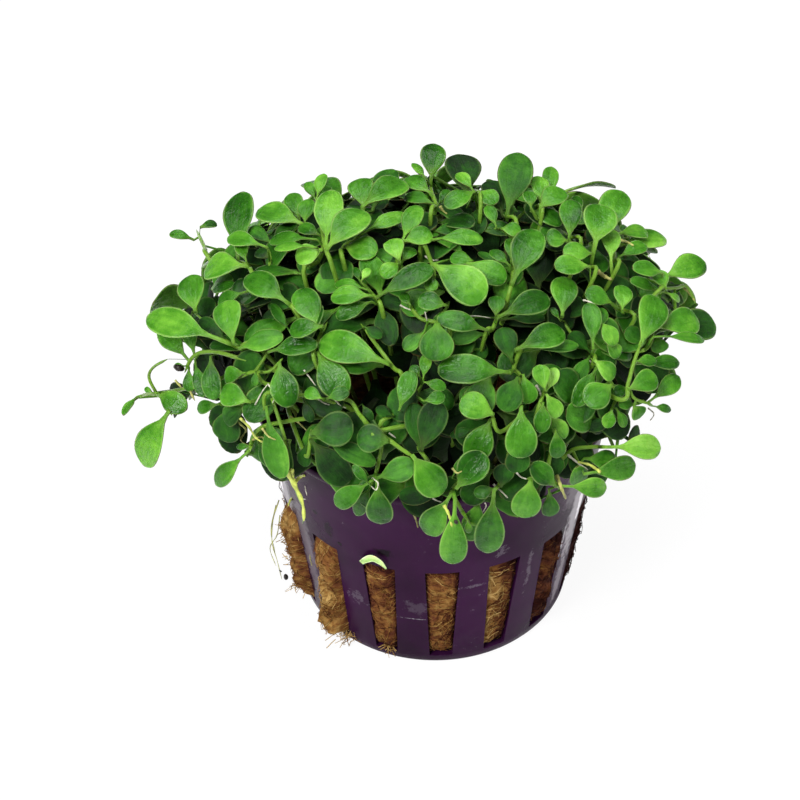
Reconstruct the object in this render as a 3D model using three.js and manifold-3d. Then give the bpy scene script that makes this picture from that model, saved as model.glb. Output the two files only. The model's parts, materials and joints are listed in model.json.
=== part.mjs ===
// Potted Glossostigma: a slotted 5 cm net pot, its mineral wool plug and the mat of spoon-shaped leaves.
// Millimetres, +Z up, the pot stands on z = 0 with its axis on the origin.

import * as THREE from 'three';
import { mergeVertices } from 'three/addons/utils/BufferGeometryUtils.js';
import Module from 'manifold-3d';

const wasm = await Module();
wasm.setup();
const { Manifold, Mesh: SolidMesh } = wasm;

// net pot
const potBaseRadius = 20;
const potHeight = 38.5;
const potTaper = 0.126; // growth of the radius for each mm of height
const potWall = 1.0;
const potFloor = 1.4;
const lipReach = 0.9;
const lipHeight = 1.5;
const lipSlope = 0.2;
const slotCount = 16;
const slotTurn = 1.35; // degrees from the front to the first slot
const slotFoot = 1.72;
const slotTop = 21.59;
const slotHalfFoot = 1.62;
const slotHalfTop = 2.35;
const drainCount = 8;
const drainInner = 8;
const drainOuter = 15.5;
const drainHalfWidth = 1.1;

// mineral wool plug
const woolGap = 0.3;
const woolTop = 33.5;
const woolEdge = [2.5, 1.5]; // worn off the top edge: inwards, downwards
const woolSides = 24;
const woolRibReach = -0.25; // outermost face of a rib, measured from the outside of the pot
const woolBulge = [[-2, 1.1], [-3, 0.9], [-1, 0.1], [2, 0.1]]; // slot number, reach past the pot wall

// mat of leaves: an ellipsoid the sprigs are laid over
const matHeight = 40;
const matHalfWidth = 41;
const matHalfDepth = 32;
const matRise = 26;
const matFall = 12;
const skirtRadius = 28.5; // sprigs hanging over the pot wall
const stemRadius = 0.5;
const rootInset = 0.12; // from the middle of the stem to where a leaf starts
const leafThickness = 0.5;
const clearGap = 0.32;

// view that the front sprigs are laid out in: a picture 800 units wide
const viewFocal = 1800;
const viewDistance = 262.09;
const viewElevation = THREE.MathUtils.degToRad(41.66);
const viewRight = -4.88;
const viewUp = 9.72;
const viewRoll = THREE.MathUtils.degToRad(0.84);
const viewCentre = 400;
const viewAim = 20; // height looked at

const back = [0, -Math.cos(viewElevation), Math.sin(viewElevation)];
const right = [1, 0, 0];
const up = [0, Math.sin(viewElevation), Math.cos(viewElevation)];
const aim = [0, 0, viewAim];
const eye = [0, 1, 2].map((i) => aim[i] + back[i] * viewDistance + right[i] * viewRight + up[i] * viewUp);

// front sprigs: stems as sight points, leaves as [base x, base y, tip x, tip y, width, layer]
// layers: 0 deep, 1 middle, 2 top of the mat
const frontSprigs = [
  { stems: [[[216, 268], [205, 248], [197, 231]]],
    leaves: [[194, 240, 169.5, 233.5, 10, 2], [200, 227.5, 217, 224, 9, 2]] },
  { stems: [[[262, 290], [249, 267], [239, 262]], [[262, 290], [270, 262], [268, 249]]],
    leaves: [[247, 266, 204, 270, 30, 2], [247, 263, 239, 241, 14, 2], [238, 262, 242, 191, 32, 1],
      [250, 284, 212, 290, 12, 0], [246, 292, 218, 304, 14, 1], [268, 248, 227, 237, 17, 2],
      [270, 258, 256, 252, 13, 0]] },
  { stems: [[[262, 350], [234, 346], [196, 314]]],
    leaves: [[196, 312, 191, 275, 29, 1], [228, 343, 147, 316, 33, 2], [234, 344, 226, 300, 30, 2],
      [230, 344, 200, 320, 18, 0], [239, 349, 283, 336, 22, 2]] },
  { stems: [[[232, 356], [205, 352], [192, 358], [187, 368]]],
    leaves: [[186, 366, 174, 367, 7, 1], [189, 368, 190, 392, 12, 1], [195, 360, 204, 397, 14, 1],
      [211, 356, 214, 400, 21, 1], [190, 362, 160, 324, 24, 0], [195, 357, 190, 322, 18, 0]] },
  { stems: [[[206, 384], [183, 389], [157, 394]], [[157, 394], [166, 402], [170, 411]],
    [[157, 394], [150, 381], [149.5, 373], [155, 366], [165, 360.5]], [[157, 394], [147, 394], [138, 397]]],
    leaves: [[158, 394, 186, 409, 23, 2], [170, 410, 142, 466, 31, 2], [138, 397, 123, 415, 9, 2],
      [153, 393, 145, 388, 6, 2]] },
  { stems: [[[266, 384], [255, 372], [242, 377]], [[255, 372], [262, 362], [268, 352]],
    [[255, 372], [270, 371], [279, 362]]],
    leaves: [[256, 371, 255, 386, 8, 2], [268, 352, 317, 344, 21, 2], [246, 373, 224, 377, 18, 1],
      [279, 362, 289, 407, 29, 2]] },
  { stems: [[[262, 398], [250, 403], [236, 405], [221, 404]]],
    leaves: [[250, 402, 221, 393, 25, 2], [219, 404, 197, 409, 14, 1], [246, 406, 224, 421, 22, 1],
      [232, 405, 226, 442, 30, 0]] },
  { stems: [[[272, 424], [255, 436], [249, 451]]],
    leaves: [[249, 451, 215, 485, 20, 2], [252, 446, 237, 447, 7, 1], [256, 437, 272, 468, 13, 1]] },
  { stems: [[[274, 392], [266, 406]],
    [[272, 398], [285, 440], [289, 470], [297, 492], [304, 510], [303, 521]]],
    leaves: [[266, 406, 282, 479, 27, 2], [290, 440, 281, 479, 24, 1], [303, 398, 312, 422, 12, 0]] },
  { stems: [[[318, 368], [318, 342], [325, 327]], [[318, 342], [296, 338]]],
    leaves: [[324, 326, 290, 332, 20, 2], [322, 330, 299, 290, 29, 1], [294, 338, 271, 303, 11, 1],
      [317, 352, 344, 397, 33, 1]] },
  { stems: [[[302, 322], [289, 305]]],
    leaves: [[289, 304, 246, 275, 29, 2], [292, 308, 262, 320, 12, 0]] },
  { stems: [[[306, 284], [318, 262], [323, 248], [322, 236]], [[322, 236], [303, 226]]],
    leaves: [[323, 250, 296, 260, 23, 2], [318, 248, 275, 249, 12, 2], [321, 236, 299, 227, 14, 1],
      [318, 240, 269, 241, 15, 1], [302, 224, 258, 210, 28, 1], [300, 222, 290, 193, 20, 0],
      [305, 224, 308, 199, 19, 1], [274, 246, 250, 228, 15, 0]] },
  { stems: [[[334, 272], [326, 250], [317, 202]]],
    leaves: [[326, 250, 332, 189, 30, 2], [327, 249, 366, 212, 34, 2], [316, 200, 306, 182, 11, 1],
      [317, 199, 324, 174, 13, 1], [319, 208, 327, 186, 18, 0]] },
  { stems: [[[346, 272], [343, 248], [358, 236], [362, 207]]],
    leaves: [[344, 247, 377, 253, 28, 1], [359, 236, 408, 214, 17, 1], [364, 208, 360, 178, 27, 1],
      [362, 207, 405, 182, 30, 2], [372, 212, 393, 169, 26, 0]] },
  { stems: [[[384, 318], [375, 298], [362, 283]]],
    leaves: [[373, 296, 331, 298, 21, 2], [368, 290, 335, 284, 14, 1], [372, 302, 336, 317, 18, 1],
      [360, 282, 355, 268, 8, 2], [361, 282, 370, 269, 9, 2], [376, 298, 433, 268, 24, 2],
      [344, 300, 334, 259, 36, 0], [378, 302, 392, 346, 24, 0]] },
  { stems: [[[404, 382], [392, 366], [364, 328]]],
    leaves: [[389, 364, 319, 340, 36, 1], [364, 327, 382, 337, 13, 1]] },
  { stems: [[[370, 428], [359, 414], [348, 400], [325, 399]]],
    leaves: [[323, 399, 305, 391, 14, 2], [327, 399, 349, 391, 15, 2], [362, 404, 372, 421, 10, 0]] },
  { stems: [[[306, 456], [310, 434]]],
    leaves: [[310, 433, 353, 427, 36, 2], [314, 436, 376, 464, 20, 1], [311, 440, 348, 484, 32, 1],
      [309, 442, 303, 466, 16, 0]] },
  { stems: [[[384, 436], [381, 452], [375, 477]]],
    leaves: [[373, 480, 335, 505, 22, 2], [371, 486, 353, 465, 10, 2], [366, 484, 338, 490, 11, 0],
      [377, 478, 415, 464, 26, 2], [377, 480, 381, 524, 28, 2], [373, 482, 356, 516, 16, 1]] },
  { stems: [[[374, 432], [389, 440], [400, 448], [412, 456]]],
    leaves: [[389, 441, 357, 436, 30, 2], [412, 455, 441, 495, 34, 2]] },
  { stems: [[[468, 474], [453, 489], [459, 506], [468, 520]]],
    leaves: [[450, 496, 426, 534, 28, 2], [455, 499, 452, 565, 29, 2], [456, 489, 484, 453, 32, 2],
      [467, 519, 469, 533, 8, 2], [448, 493, 399, 496, 20, 1], [452, 478, 462, 458, 8, 1]] },
  { stems: [[[504, 474], [496, 489]]],
    leaves: [[494, 490, 487, 553, 31, 2], [495, 488, 474, 494, 14, 1], [501, 487, 505, 464, 22, 1]] },
  { stems: [[[520, 352], [514, 368], [521, 378], [521, 404]], [[517, 358], [515, 350]]],
    leaves: [[511, 373, 438, 369, 31, 2], [512, 362, 501, 328, 24, 1], [523, 374, 528, 404, 22, 2],
      [518, 377, 503, 411, 28, 2], [521, 405, 520, 458, 33, 2], [520, 440, 516, 473, 26, 1],
      [515, 350, 564, 331, 28, 2], [522, 352, 578, 346, 13, 1]] },
  { stems: [[[383, 430], [399, 412], [412, 402], [422, 384]]],
    leaves: [[423, 380, 427, 354, 13, 2], [424, 382, 446, 388, 12, 2], [424, 401, 445, 396, 14, 2],
      [420, 376, 411, 366, 11, 1], [399, 411, 412, 371, 20, 2], [394, 417, 376, 408, 12, 0]] },
  { stems: [[[428, 462], [420, 451]]],
    leaves: [[420, 451, 413, 403, 24, 1], [421, 451, 439, 402, 30, 1]] },
  { stems: [[[500, 432], [493, 415]]],
    leaves: [[494, 415, 460, 401, 29, 2], [491, 419, 470, 462, 30, 1], [478, 428, 450, 436, 10, 0]] },
  { stems: [[[536, 416], [544, 392]], [[540, 404], [549, 414], [555, 430]]],
    leaves: [[545, 391, 538, 365, 19, 2], [546, 392, 556, 368, 14, 1], [546, 394, 559, 417, 18, 2],
      [543, 402, 541, 433, 18, 2], [549, 414, 566, 438, 17, 1], [555, 430, 558, 458, 18, 1]] },
  { stems: [[[624, 404], [613, 386], [594, 362]], [[618, 394], [611, 411]]],
    leaves: [[612, 385, 586, 404, 29, 2], [597, 367, 575, 406, 20, 1], [602, 388, 566, 420, 30, 0],
      [594, 360, 614, 378, 19, 2], [612, 409, 606, 428, 15, 2], [618, 420, 585, 428, 14, 0],
      [616, 408, 625, 427, 11, 1]] },
  { stems: [[[622, 400], [628, 384], [634, 362], [640, 346]], [[628, 384], [634, 398], [648, 403]]],
    leaves: [[640, 346, 657, 295, 33, 2], [634, 362, 656, 361, 13, 2], [636, 364, 679, 363, 16, 1],
      [627, 390, 656, 377, 24, 2], [627, 388, 613, 394, 13, 1], [650, 401, 679, 377, 20, 1],
      [652, 406, 671, 410, 9, 1], [634, 406, 640, 418, 18, 2], [634, 405, 618, 404, 12, 1]] },
  { stems: [[[590, 368], [593, 350], [600, 326]], [[593, 350], [606, 342]],
    [[593, 350], [576, 340], [562, 318]]],
    leaves: [[593, 349, 589, 303, 20, 2], [598, 332, 603, 308, 14, 1], [600, 322, 616, 345, 18, 2],
      [606, 342, 619, 357, 16, 1], [590, 352, 569, 334, 17, 0], [590, 356, 575, 380, 16, 0],
      [562, 317, 565, 276, 29, 1], [560, 320, 551, 308, 7, 1]] },
  { stems: [[[484, 340], [492, 330], [497, 318]]],
    leaves: [[498, 317, 549, 299, 26, 2], [496, 316, 497, 296, 18, 1], [489, 331, 437, 318, 22, 2],
      [500, 320, 545, 318, 14, 0], [488, 334, 450, 340, 17, 0]] },
  { stems: [[[420, 254], [432, 264], [434, 276]]],
    leaves: [[432, 264, 484, 300, 38, 2], [464, 263, 506, 281, 26, 1], [433, 276, 430, 291, 15, 1],
      [474, 262, 450, 258, 16, 1]] },
  { stems: [[[398, 268], [402, 243]]],
    leaves: [[402, 243, 419, 205, 21, 2], [403, 242, 432, 234, 21, 2], [400, 261, 391, 240, 21, 2],
      [402, 262, 414, 248, 15, 1], [400, 263, 382, 277, 18, 1]] },
  { stems: [[[430, 228], [436, 207], [431, 190], [431, 178]]],
    leaves: [[431, 180, 434.5, 143, 26, 2], [430, 193, 405, 178, 20, 1], [435, 205, 404, 196, 14, 1],
      [428, 182, 412, 163.5, 8, 1], [437, 207, 449, 190, 9, 2], [432, 240, 483, 240, 18, 2],
      [433, 232, 458, 230, 14, 0]] },
  { stems: [[[480, 218], [475, 191]]],
    leaves: [[468, 196, 458, 155, 37, 1], [474, 192, 457, 173, 13, 2], [475, 192, 446, 207, 20, 2],
      [477, 192, 496, 204, 20, 2], [478, 208, 474, 236, 24, 0]] },
  { stems: [[[516, 240], [505, 218]], [[510, 230], [499, 229]]],
    leaves: [[507, 216, 519, 152, 36, 1], [503, 216, 488, 180, 24, 0], [501, 229, 521, 232, 15, 2],
      [497, 229, 487, 206, 13, 2]] },
  { stems: [[[540, 226], [534, 209]]],
    leaves: [[546, 206, 552, 166, 17, 1], [541, 205, 538, 176, 20, 1], [540, 208, 564, 190, 24, 2],
      [531, 208, 528, 191, 15, 2], [530, 211, 562, 224, 17, 1]] },
  { stems: [[[578, 256], [569, 240]]],
    leaves: [[569, 239, 571, 200, 24, 2], [571, 226, 578, 196, 14, 0], [567, 241, 546, 239, 20, 2]] },
  { stems: [[[590, 286], [591, 266], [592, 253], [595, 244]]],
    leaves: [[592, 254, 563, 252, 19, 2], [590, 267, 554, 267, 22, 2], [595, 245, 601, 205, 36, 2],
      [596, 240, 623, 192, 32, 1]] },
  { stems: [[[612, 278], [614, 258], [614, 237]]],
    leaves: [[614, 235, 648, 232, 16, 2], [616, 259, 646, 245, 16, 1], [618, 246, 667, 238, 22, 0],
      [611, 262, 608, 228, 22, 2]] },
  { stems: [[[648, 302], [663, 289]], [[663, 289], [676, 288], [687, 287], [694, 300]]],
    leaves: [[663, 278, 706, 262, 27, 1], [666, 290, 655, 270, 18, 2], [663, 274, 632, 268, 17, 2],
      [658, 292, 630, 280, 13, 0], [664, 292, 680, 301, 7, 1]] },
  { stems: [[[644, 350], [652, 336]]],
    leaves: [[655, 328, 699, 320, 30, 1], [660, 330, 717, 325, 33, 0], [653, 337, 705, 340, 12, 2],
      [656, 337, 660, 353, 20, 0], [644, 342, 624, 332, 18, 0]] },
  { stems: [[[630, 328], [622, 312]]],
    leaves: [[622, 311, 622, 285, 20, 2], [636, 312, 616, 316, 10, 0], [612, 304, 585, 292, 20, 1]] },
  { stems: [[[506, 306], [512, 280], [512, 264]]],
    leaves: [[512, 284, 536, 230, 34, 2], [511, 262, 510, 238, 14, 1], [510, 266, 490, 251, 12, 1],
      [508, 272, 478, 252, 9, 0]] },
  { stems: [[[450, 334], [437, 323], [420, 318], [411, 307]], [[437, 323], [447, 307]]],
    leaves: [[437, 323, 436, 361, 36, 2], [424, 333, 404, 350, 17, 1], [447, 306, 418, 300, 20, 2],
      [411, 306, 401, 293, 11, 1]] },
  { stems: [[[548, 470], [558, 486]], [[550, 473], [531, 478]]],
    leaves: [[556, 487, 532, 464, 22, 2], [531, 479, 522, 517, 31, 2], [549, 489, 550, 516, 18, 1],
      [554, 480, 556, 456, 18, 0], [562, 486, 607, 488, 21, 2]] },
  { stems: [[[556, 462], [572, 450], [590, 447], [612, 447]], [[572, 450], [584, 474]]],
    leaves: [[612, 447, 660, 448, 26, 2], [584, 474, 635, 465, 25, 1]] },
];

// sprigs out of that view: [turn from the front in degrees, height on the mat, leaf length,
// turn of the whorls, spread of the arms in degrees]
const backSprigs = [
  [130, 34, 7.6, 10, 9], [155, 32, 7.8, 35, 9], [180, 34, 8.0, 5, 9], [205, 32, 7.8, 50, 9],
  [230, 34, 7.6, 110, 9], [132, 46, 7.2, 40, 10], [163, 46, 7.6, 70, 11], [197, 45, 7.4, 45, 11],
  [226, 46, 7.2, 70, 10], [180, 52, 7.0, 0, 34],
];
const backArms = [[0, 0], [1, 4], [-1, -3.5]]; // share of the spread, rise
const whorlLeaves = 3;
const backShare = 0.8; // size of the mat behind against its front, above and below its widest
const skirtShare = 0.95;

// vectors
const add = (a, b, t = 1) => [a[0] + b[0] * t, a[1] + b[1] * t, a[2] + b[2] * t];
const sub = (a, b) => [a[0] - b[0], a[1] - b[1], a[2] - b[2]];
const dot = (a, b) => a[0] * b[0] + a[1] * b[1] + a[2] * b[2];
const cross = (a, b) => [a[1] * b[2] - a[2] * b[1], a[2] * b[0] - a[0] * b[2], a[0] * b[1] - a[1] * b[0]];
const length = (a) => Math.sqrt(dot(a, a));
const unit = (a) => { const l = length(a); return [a[0] / l, a[1] / l, a[2] / l]; };
const clamp = (v, low, high) => Math.min(high, Math.max(low, v));

// direction of the sight line through a picture point
function sightLine(x, y) {
  const px = (x - viewCentre) / viewFocal;
  const py = (viewCentre - y) / viewFocal;
  const cos = Math.cos(viewRoll);
  const sin = Math.sin(viewRoll);
  const a = px * cos + py * sin;
  const b = py * cos - px * sin;
  return unit([0, 1, 2].map((i) => right[i] * a + up[i] * b - back[i]));
}

// distance along a sight line to the front of the mat, or to where it passes closest to it
function sightDepth(ray) {
  const rise = (z) => (z > matHeight ? matRise : matFall);
  let best = null;
  for (const half of [matRise, matFall]) {
    const s = [matHalfWidth, matHalfDepth, half];
    const o = [eye[0] / s[0], eye[1] / s[1], (eye[2] - matHeight) / s[2]];
    const d = [ray[0] / s[0], ray[1] / s[1], ray[2] / s[2]];
    const a = dot(d, d);
    const b = dot(o, d);
    const c = dot(o, o) - 1;
    const disc = b * b - a * c;
    const t = disc > 0 ? (-b - Math.sqrt(disc)) / a : -b / a;
    const z = eye[2] + ray[2] * t;
    if (rise(z) === half && (best === null || t < best)) best = t;
  }
  const a = ray[0] * ray[0] + ray[1] * ray[1];
  const b = eye[0] * ray[0] + eye[1] * ray[1];
  const disc = b * b - a * (eye[0] * eye[0] + eye[1] * eye[1] - skirtRadius * skirtRadius);
  if (disc > 0) {
    const t = (-b - Math.sqrt(disc)) / a;
    const z = eye[2] + ray[2] * t;
    if (z < matHeight && z > 14 && (best === null || t < best)) best = t;
  }
  return best === null ? -dot(sub(eye, [0, 0, matHeight]), ray) : best;
}

// point on a sight line, lifted off the mat towards the eye
function sightPoint(x, y, lift) {
  const ray = sightLine(x, y);
  return add(eye, ray, sightDepth(ray) - lift);
}

// outward direction of the mat at a point
function matNormal(p) {
  const half = p[2] > matHeight ? matRise : matFall * 2;
  return unit([p[0] / matHalfWidth ** 2, p[1] / matHalfDepth ** 2, (p[2] - matHeight) / half ** 2]);
}

function leafFrame(base, tip, width, outward) {
  const run = sub(tip, base);
  const along = unit(run);
  const normal = unit(add(outward, along, -dot(outward, along)));
  return { base, along, normal, across: cross(normal, along), length: length(run), width };
}

// a listed leaf, lifted off the mat
function frontLeaf(entry, lift) {
  const [bx, by, tx, ty, width] = entry;
  const base = sightPoint(bx, by, lift);
  const tipRay = sightLine(tx, ty);
  const flat = Math.hypot(tx - bx, ty - by) * viewDistance / viewFocal;
  const reach = length(sub(base, eye));
  const tipReach = clamp(sightDepth(tipRay) - lift, reach - 0.55 * flat, reach + 0.55 * flat);
  const tip = add(eye, tipRay, tipReach);
  const outward = add(add(matNormal(base).map((v) => v * 0.5), back, 0.4), [0, 0, 1], 0.3);
  const frame = leafFrame(base, tip, 0, outward);
  const seen = Math.sqrt(Math.max(0.25, 1 - dot(frame.across, back) ** 2));
  frame.width = width * reach / viewFocal / seen;
  return frame;
}

// point of a leaf: s along it, h across it in half widths, rise off its surface
const petiole = 0.36;
function leafPoint(leaf, s, h, rise = 0) {
  const half = leaf.width / 2;
  const arch = 0.08 * leaf.length * 4 * s * (1 - s) + 0.16 * half * h * h + rise;
  return add(add(add(leaf.base, leaf.along, s * leaf.length), leaf.across, h * half), leaf.normal, arch);
}

// blade points tested against other leaves: [s, h]
const probes = [[0.45, 0], [0.62, 0], [0.8, 0], [0.97, 0], [0.5, 0.7], [0.5, -0.7], [0.68, 0.95],
  [0.68, -0.95], [0.84, 0.8], [0.84, -0.8], [0.68, 0.5], [0.68, -0.5]];
const leafRoom = 0.95;

function bladeCentre(leaf) {
  return leafPoint(leaf, 0.65, 0);
}

// true when a point lies in the slab that a leaf blade needs for itself
function insideBlade(p, leaf) {
  const d = sub(p, leaf.base);
  const s = dot(d, leaf.along) / leaf.length;
  const h = dot(d, leaf.across) / (leaf.width / 2);
  const e = ((s - 0.66) / 0.4) ** 2 + (h / 1.15) ** 2;
  if (e > 1) return false;
  const rise = dot(d, leaf.normal) - 0.08 * leaf.length * 4 * s * (1 - s) - 0.08 * leaf.width * h * h;
  return Math.abs(rise) < leafRoom;
}

function clashes(leaf, placed) {
  const c = bladeCentre(leaf);
  const mine = probes.map(([s, h]) => leafPoint(leaf, s, h));
  for (const p of mine) {
    const r = Math.hypot(p[0], p[1]);
    if (p[2] < potHeight + 1 && r < potBaseRadius + potTaper * p[2] + lipReach + 0.7) return true;
    if (p[2] < 1.5) return true;
  }
  for (const other of placed) {
    const reach = (leaf.length + other.length) * 0.36 + (leaf.width + other.width) * 0.2;
    if (length(sub(c, other.centre)) > reach) continue;
    if (mine.some((p) => insideBlade(p, other))) return true;
    if (other.points.some((p) => insideBlade(p, leaf))) return true;
  }
  return false;
}

// leaves are laid from the deep layer up, each lifted until it clears those already there
const layerLift = [0, 1.6, 3.2];
const liftStep = 0.4;
const liftMost = 24;
const placed = [];
function settle(make) {
  let leaf = make(0);
  for (let i = 0; i <= liftMost; i += 1) {
    leaf = make(i * liftStep);
    if (!clashes(leaf, placed)) break;
  }
  leaf.centre = bladeCentre(leaf);
  leaf.points = probes.map(([s, h]) => leafPoint(leaf, s, h));
  placed.push(leaf);
  return leaf;
}

// way of a stem from the wool, over the rim when it has to hang outside the pot; swing turns its foot aside
const footRadius = 20.5; // outermost stems in the wool
const footSink = 0.35; // above the wool
const overRadius = [22, 26]; // bend above the rim, of the innermost and the outermost stems
const overHeight = [potHeight + 2.2, 24]; // lowest bend, and its height over half that of the first leaves
const straightRadius = 30; // no bend inside this
const straightHeight = potHeight + 4;
function rootLine(to, swing) {
  const r = Math.hypot(to[0], to[1]);
  const turn = Math.atan2(to[0], -to[1]) + THREE.MathUtils.degToRad(swing);
  const share = clamp(r / 36, 0, 1); // of the way from the axis to the edge of the mat
  const at = (radius, z) => [Math.sin(turn) * radius, -Math.cos(turn) * radius, z];
  const foot = at(footRadius * share, woolTop + footSink);
  if (to[2] > straightHeight && r < straightRadius) return [foot, to];
  const bend = overRadius[0] + (overRadius[1] - overRadius[0]) * share;
  return [foot, at(bend, Math.max(overHeight[0], to[2] * 0.5 + overHeight[1])), to];
}

// a stem runs a little past its last leaf
function pastEnd(line) {
  const [a, b] = line.slice(-2);
  return [...line.slice(0, -1), add(b, unit(sub(b, a)), stemRadius * 1.4)];
}

// least distance between two straight pieces
function pieceGap([a, b], [c, d]) {
  const u = sub(b, a);
  const v = sub(d, c);
  const w = sub(a, c);
  const uv = dot(u, v);
  const across = dot(u, u) * dot(v, v) - uv * uv;
  const first = across > 1e-9 ? clamp((uv * dot(v, w) - dot(v, v) * dot(u, w)) / across, 0, 1) : 0;
  const t = clamp((uv * first + dot(v, w)) / dot(v, v), 0, 1);
  const s = clamp((uv * t - dot(u, w)) / dot(u, u), 0, 1);
  return length(sub(add(a, u, s), add(c, v, t)));
}
const pieces = (line) => line.slice(1).map((p, i) => [line[i], p]);

// stems are laid one sprig after another, lifted and swung aside until they clear those already there
const stemLifts = [0.4, 1.2, 2.0, -0.4, 2.8, -1.2, 3.6];
const stemSwings = [0, 6, -6, 12, -12, 18, -18, 25, -25];
const stemRoom = 2 * stemRadius + clearGap;
const laid = [];
function layStems(make) {
  let best = null;
  for (const lift of stemLifts) {
    for (const swing of stemSwings) {
      const [first, ...branches] = make(lift);
      const lines = [[...rootLine(first[0], swing), ...first.slice(1)], ...branches].map(pastEnd);
      const mine = lines.flatMap(pieces);
      const gap = Math.min(99, ...mine.flatMap((a) => laid.map((b) => pieceGap(a, b))));
      if (best === null || gap > best.gap) best = { gap, lines, mine, stems: [first, ...branches] };
      if (gap > stemRoom) break;
    }
    if (best.gap > stemRoom) break;
  }
  laid.push(...best.mine);
  return { lines: best.lines, stems: best.stems, leaves: [] };
}

const sprigs = frontSprigs.map((sprig) => layStems((lift) => sprig.stems.map((line) => line.map(
  ([x, y]) => sightPoint(x, y, lift)))));
for (const layer of [0, 1, 2]) {
  frontSprigs.forEach((sprig, i) => {
    for (const entry of sprig.leaves) {
      const make = (lift) => frontLeaf(entry, layerLift[layer] + lift);
      if (entry[5] === layer) sprigs[i].leaves.push(settle(make));
    }
  });
}

// point of the mat at a turn from the front and a height
function matPoint(turn, z) {
  const angle = THREE.MathUtils.degToRad(turn);
  const share = z > matHeight ? backShare : skirtShare;
  const half = (z > matHeight ? matRise : matFall * 2) * share;
  const ring = Math.sqrt(Math.max(0, 1 - ((z - matHeight) / half) ** 2)) * share;
  return [matHalfWidth * ring * Math.sin(angle), -matHalfDepth * ring * Math.cos(angle), z];
}

for (const [turn, height, size, whorl, spread] of backSprigs) {
  const nodes = backArms.map(([share, rise]) => matPoint(turn + share * spread, height + rise));
  const inner = add(nodes[0], matNormal(nodes[0]), -3);
  const sprig = layStems((lift) => [[inner, nodes[0]],
    ...nodes.slice(1).map((p) => [inner, add(p, matNormal(p), lift - stemLifts[0])])]);
  nodes.forEach((node, n) => {
    const outward = unit(add(matNormal(node), [0, 0, 1], 0.35));
    const side = unit(cross([0, 0, 1], outward));
    const rise = cross(outward, side);
    for (let k = 0; k < whorlLeaves; k += 1) {
      const a = THREE.MathUtils.degToRad(whorl + 40 * n + k * 360 / whorlLeaves + (k % 2) * 14);
      const around = add(side.map((v) => v * Math.cos(a)), rise, Math.sin(a));
      const lean = add(around, outward, 0.3 + 0.16 * (k % 2));
      const reach = size * (1 + 0.11 * ((k * 2 + n) % 3));
      const start = add(node, unit(lean), 0.6);
      sprig.leaves.push(settle((lift) => {
        const base = add(start, outward, lift);
        return leafFrame(base, add(base, unit(lean), reach), reach * 0.62, outward);
      }));
    }
  });
  sprigs.push(sprig);
}

// solids
function solid(points, faces) {
  const mesh = new SolidMesh({
    numProp: 3, vertProperties: new Float32Array(points.flat()), triVerts: new Uint32Array(faces.flat()),
  });
  mesh.merge();
  return new Manifold(mesh);
}

const outline = [[petiole, 0.42], [0.7, 1], [0.97, 0.55]]; // blade edge: s, share of the half width

// leaf plate, thin at its edges, running to a point in its stem; grown by a gap it has thick edges
function leafSolid(leaf, root, grow) {
  const t = leafThickness / 2 + grow;
  const half = leaf.width / 2;
  const edge = ([s, w], side) => leafPoint(leaf, s + (s > 0.9 ? grow / leaf.length : 0),
    side * (w + grow / half));
  const mid = leafPoint(leaf, 0.6, 0);
  const turn = (p) => Math.atan2(dot(sub(p, mid), leaf.across), dot(sub(p, mid), leaf.along));
  const ring = [root, ...outline.flatMap((k) => [edge(k, 1), edge(k, -1)])]
    .sort((a, b) => turn(a) - turn(b));
  const n = ring.length;
  const lift = (list, by) => list.map((p) => add(p, leaf.normal, by));
  const around = ring.map((p, i) => [i, (i + 1) % n]);
  if (grow === 0) {
    const faces = around.flatMap(([a, b]) => [[a, b, n], [b, a, n + 1]]);
    return solid([...ring, ...lift([mid], t), ...lift([mid], -t)], faces);
  }
  const points = [...lift([...ring, mid], t), ...lift([...ring, mid], -t)];
  const under = n + 1;
  const faces = around.flatMap(([a, b]) => [[a, b, n], [b + under, a + under, n + under], [b, a, a + under],
    [b, a + under, b + under]]);
  return solid(points, faces);
}

function tube(line, radius, sides, spin) {
  const points = [];
  const faces = [];
  let side = null;
  line.forEach((p, i) => {
    const along = unit(sub(line[Math.min(i + 1, line.length - 1)], line[Math.max(i - 1, 0)]));
    if (side === null) side = unit(cross(along, Math.abs(along[2]) < 0.9 ? [0, 0, 1] : [1, 0, 0]));
    side = unit(add(side, along, -dot(side, along)));
    const other = cross(along, side);
    for (let k = 0; k < sides; k += 1) {
      const a = spin + 2 * Math.PI * k / sides;
      points.push(add(add(p, side, radius * Math.cos(a)), other, radius * Math.sin(a)));
    }
  });
  for (let i = 0; i + 1 < line.length; i += 1) {
    for (let k = 0; k < sides; k += 1) {
      const a = i * sides + k;
      const b = i * sides + (k + 1) % sides;
      faces.push([a, b, b + sides], [a, b + sides, a + sides]);
    }
  }
  const end = (line.length - 1) * sides;
  for (let k = 1; k + 1 < sides; k += 1) faces.push([0, k + 1, k], [end, end + k, end + k + 1]);
  return solid(points, faces);
}

const nearest = (p, stems) => {
  let best = stems[0][0];
  for (const line of stems) {
    for (let i = 0; i < line.length; i += 1) {
      const steps = i + 1 < line.length ? 6 : 1;
      for (let k = 0; k < steps; k += 1) {
        const q = k ? add(line[i], sub(line[i + 1], line[i]), k / 6) : line[i];
        if (length(sub(p, q)) < length(sub(p, best))) best = q;
      }
    }
  }
  return best;
};

const near = (a, b) => {
  const p = a.boundingBox();
  const q = b.boundingBox();
  return [0, 1, 2].every((i) => p.min[i] <= q.max[i] && q.min[i] <= p.max[i]);
};
const meets = (a, b) => near(a, b) && a.intersect(b).volume() > 0.001;
const largest = (body) => {
  const parts = body.decompose();
  return parts.reduce((a, b) => (a.volume() > b.volume() ? a : b));
};

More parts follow.
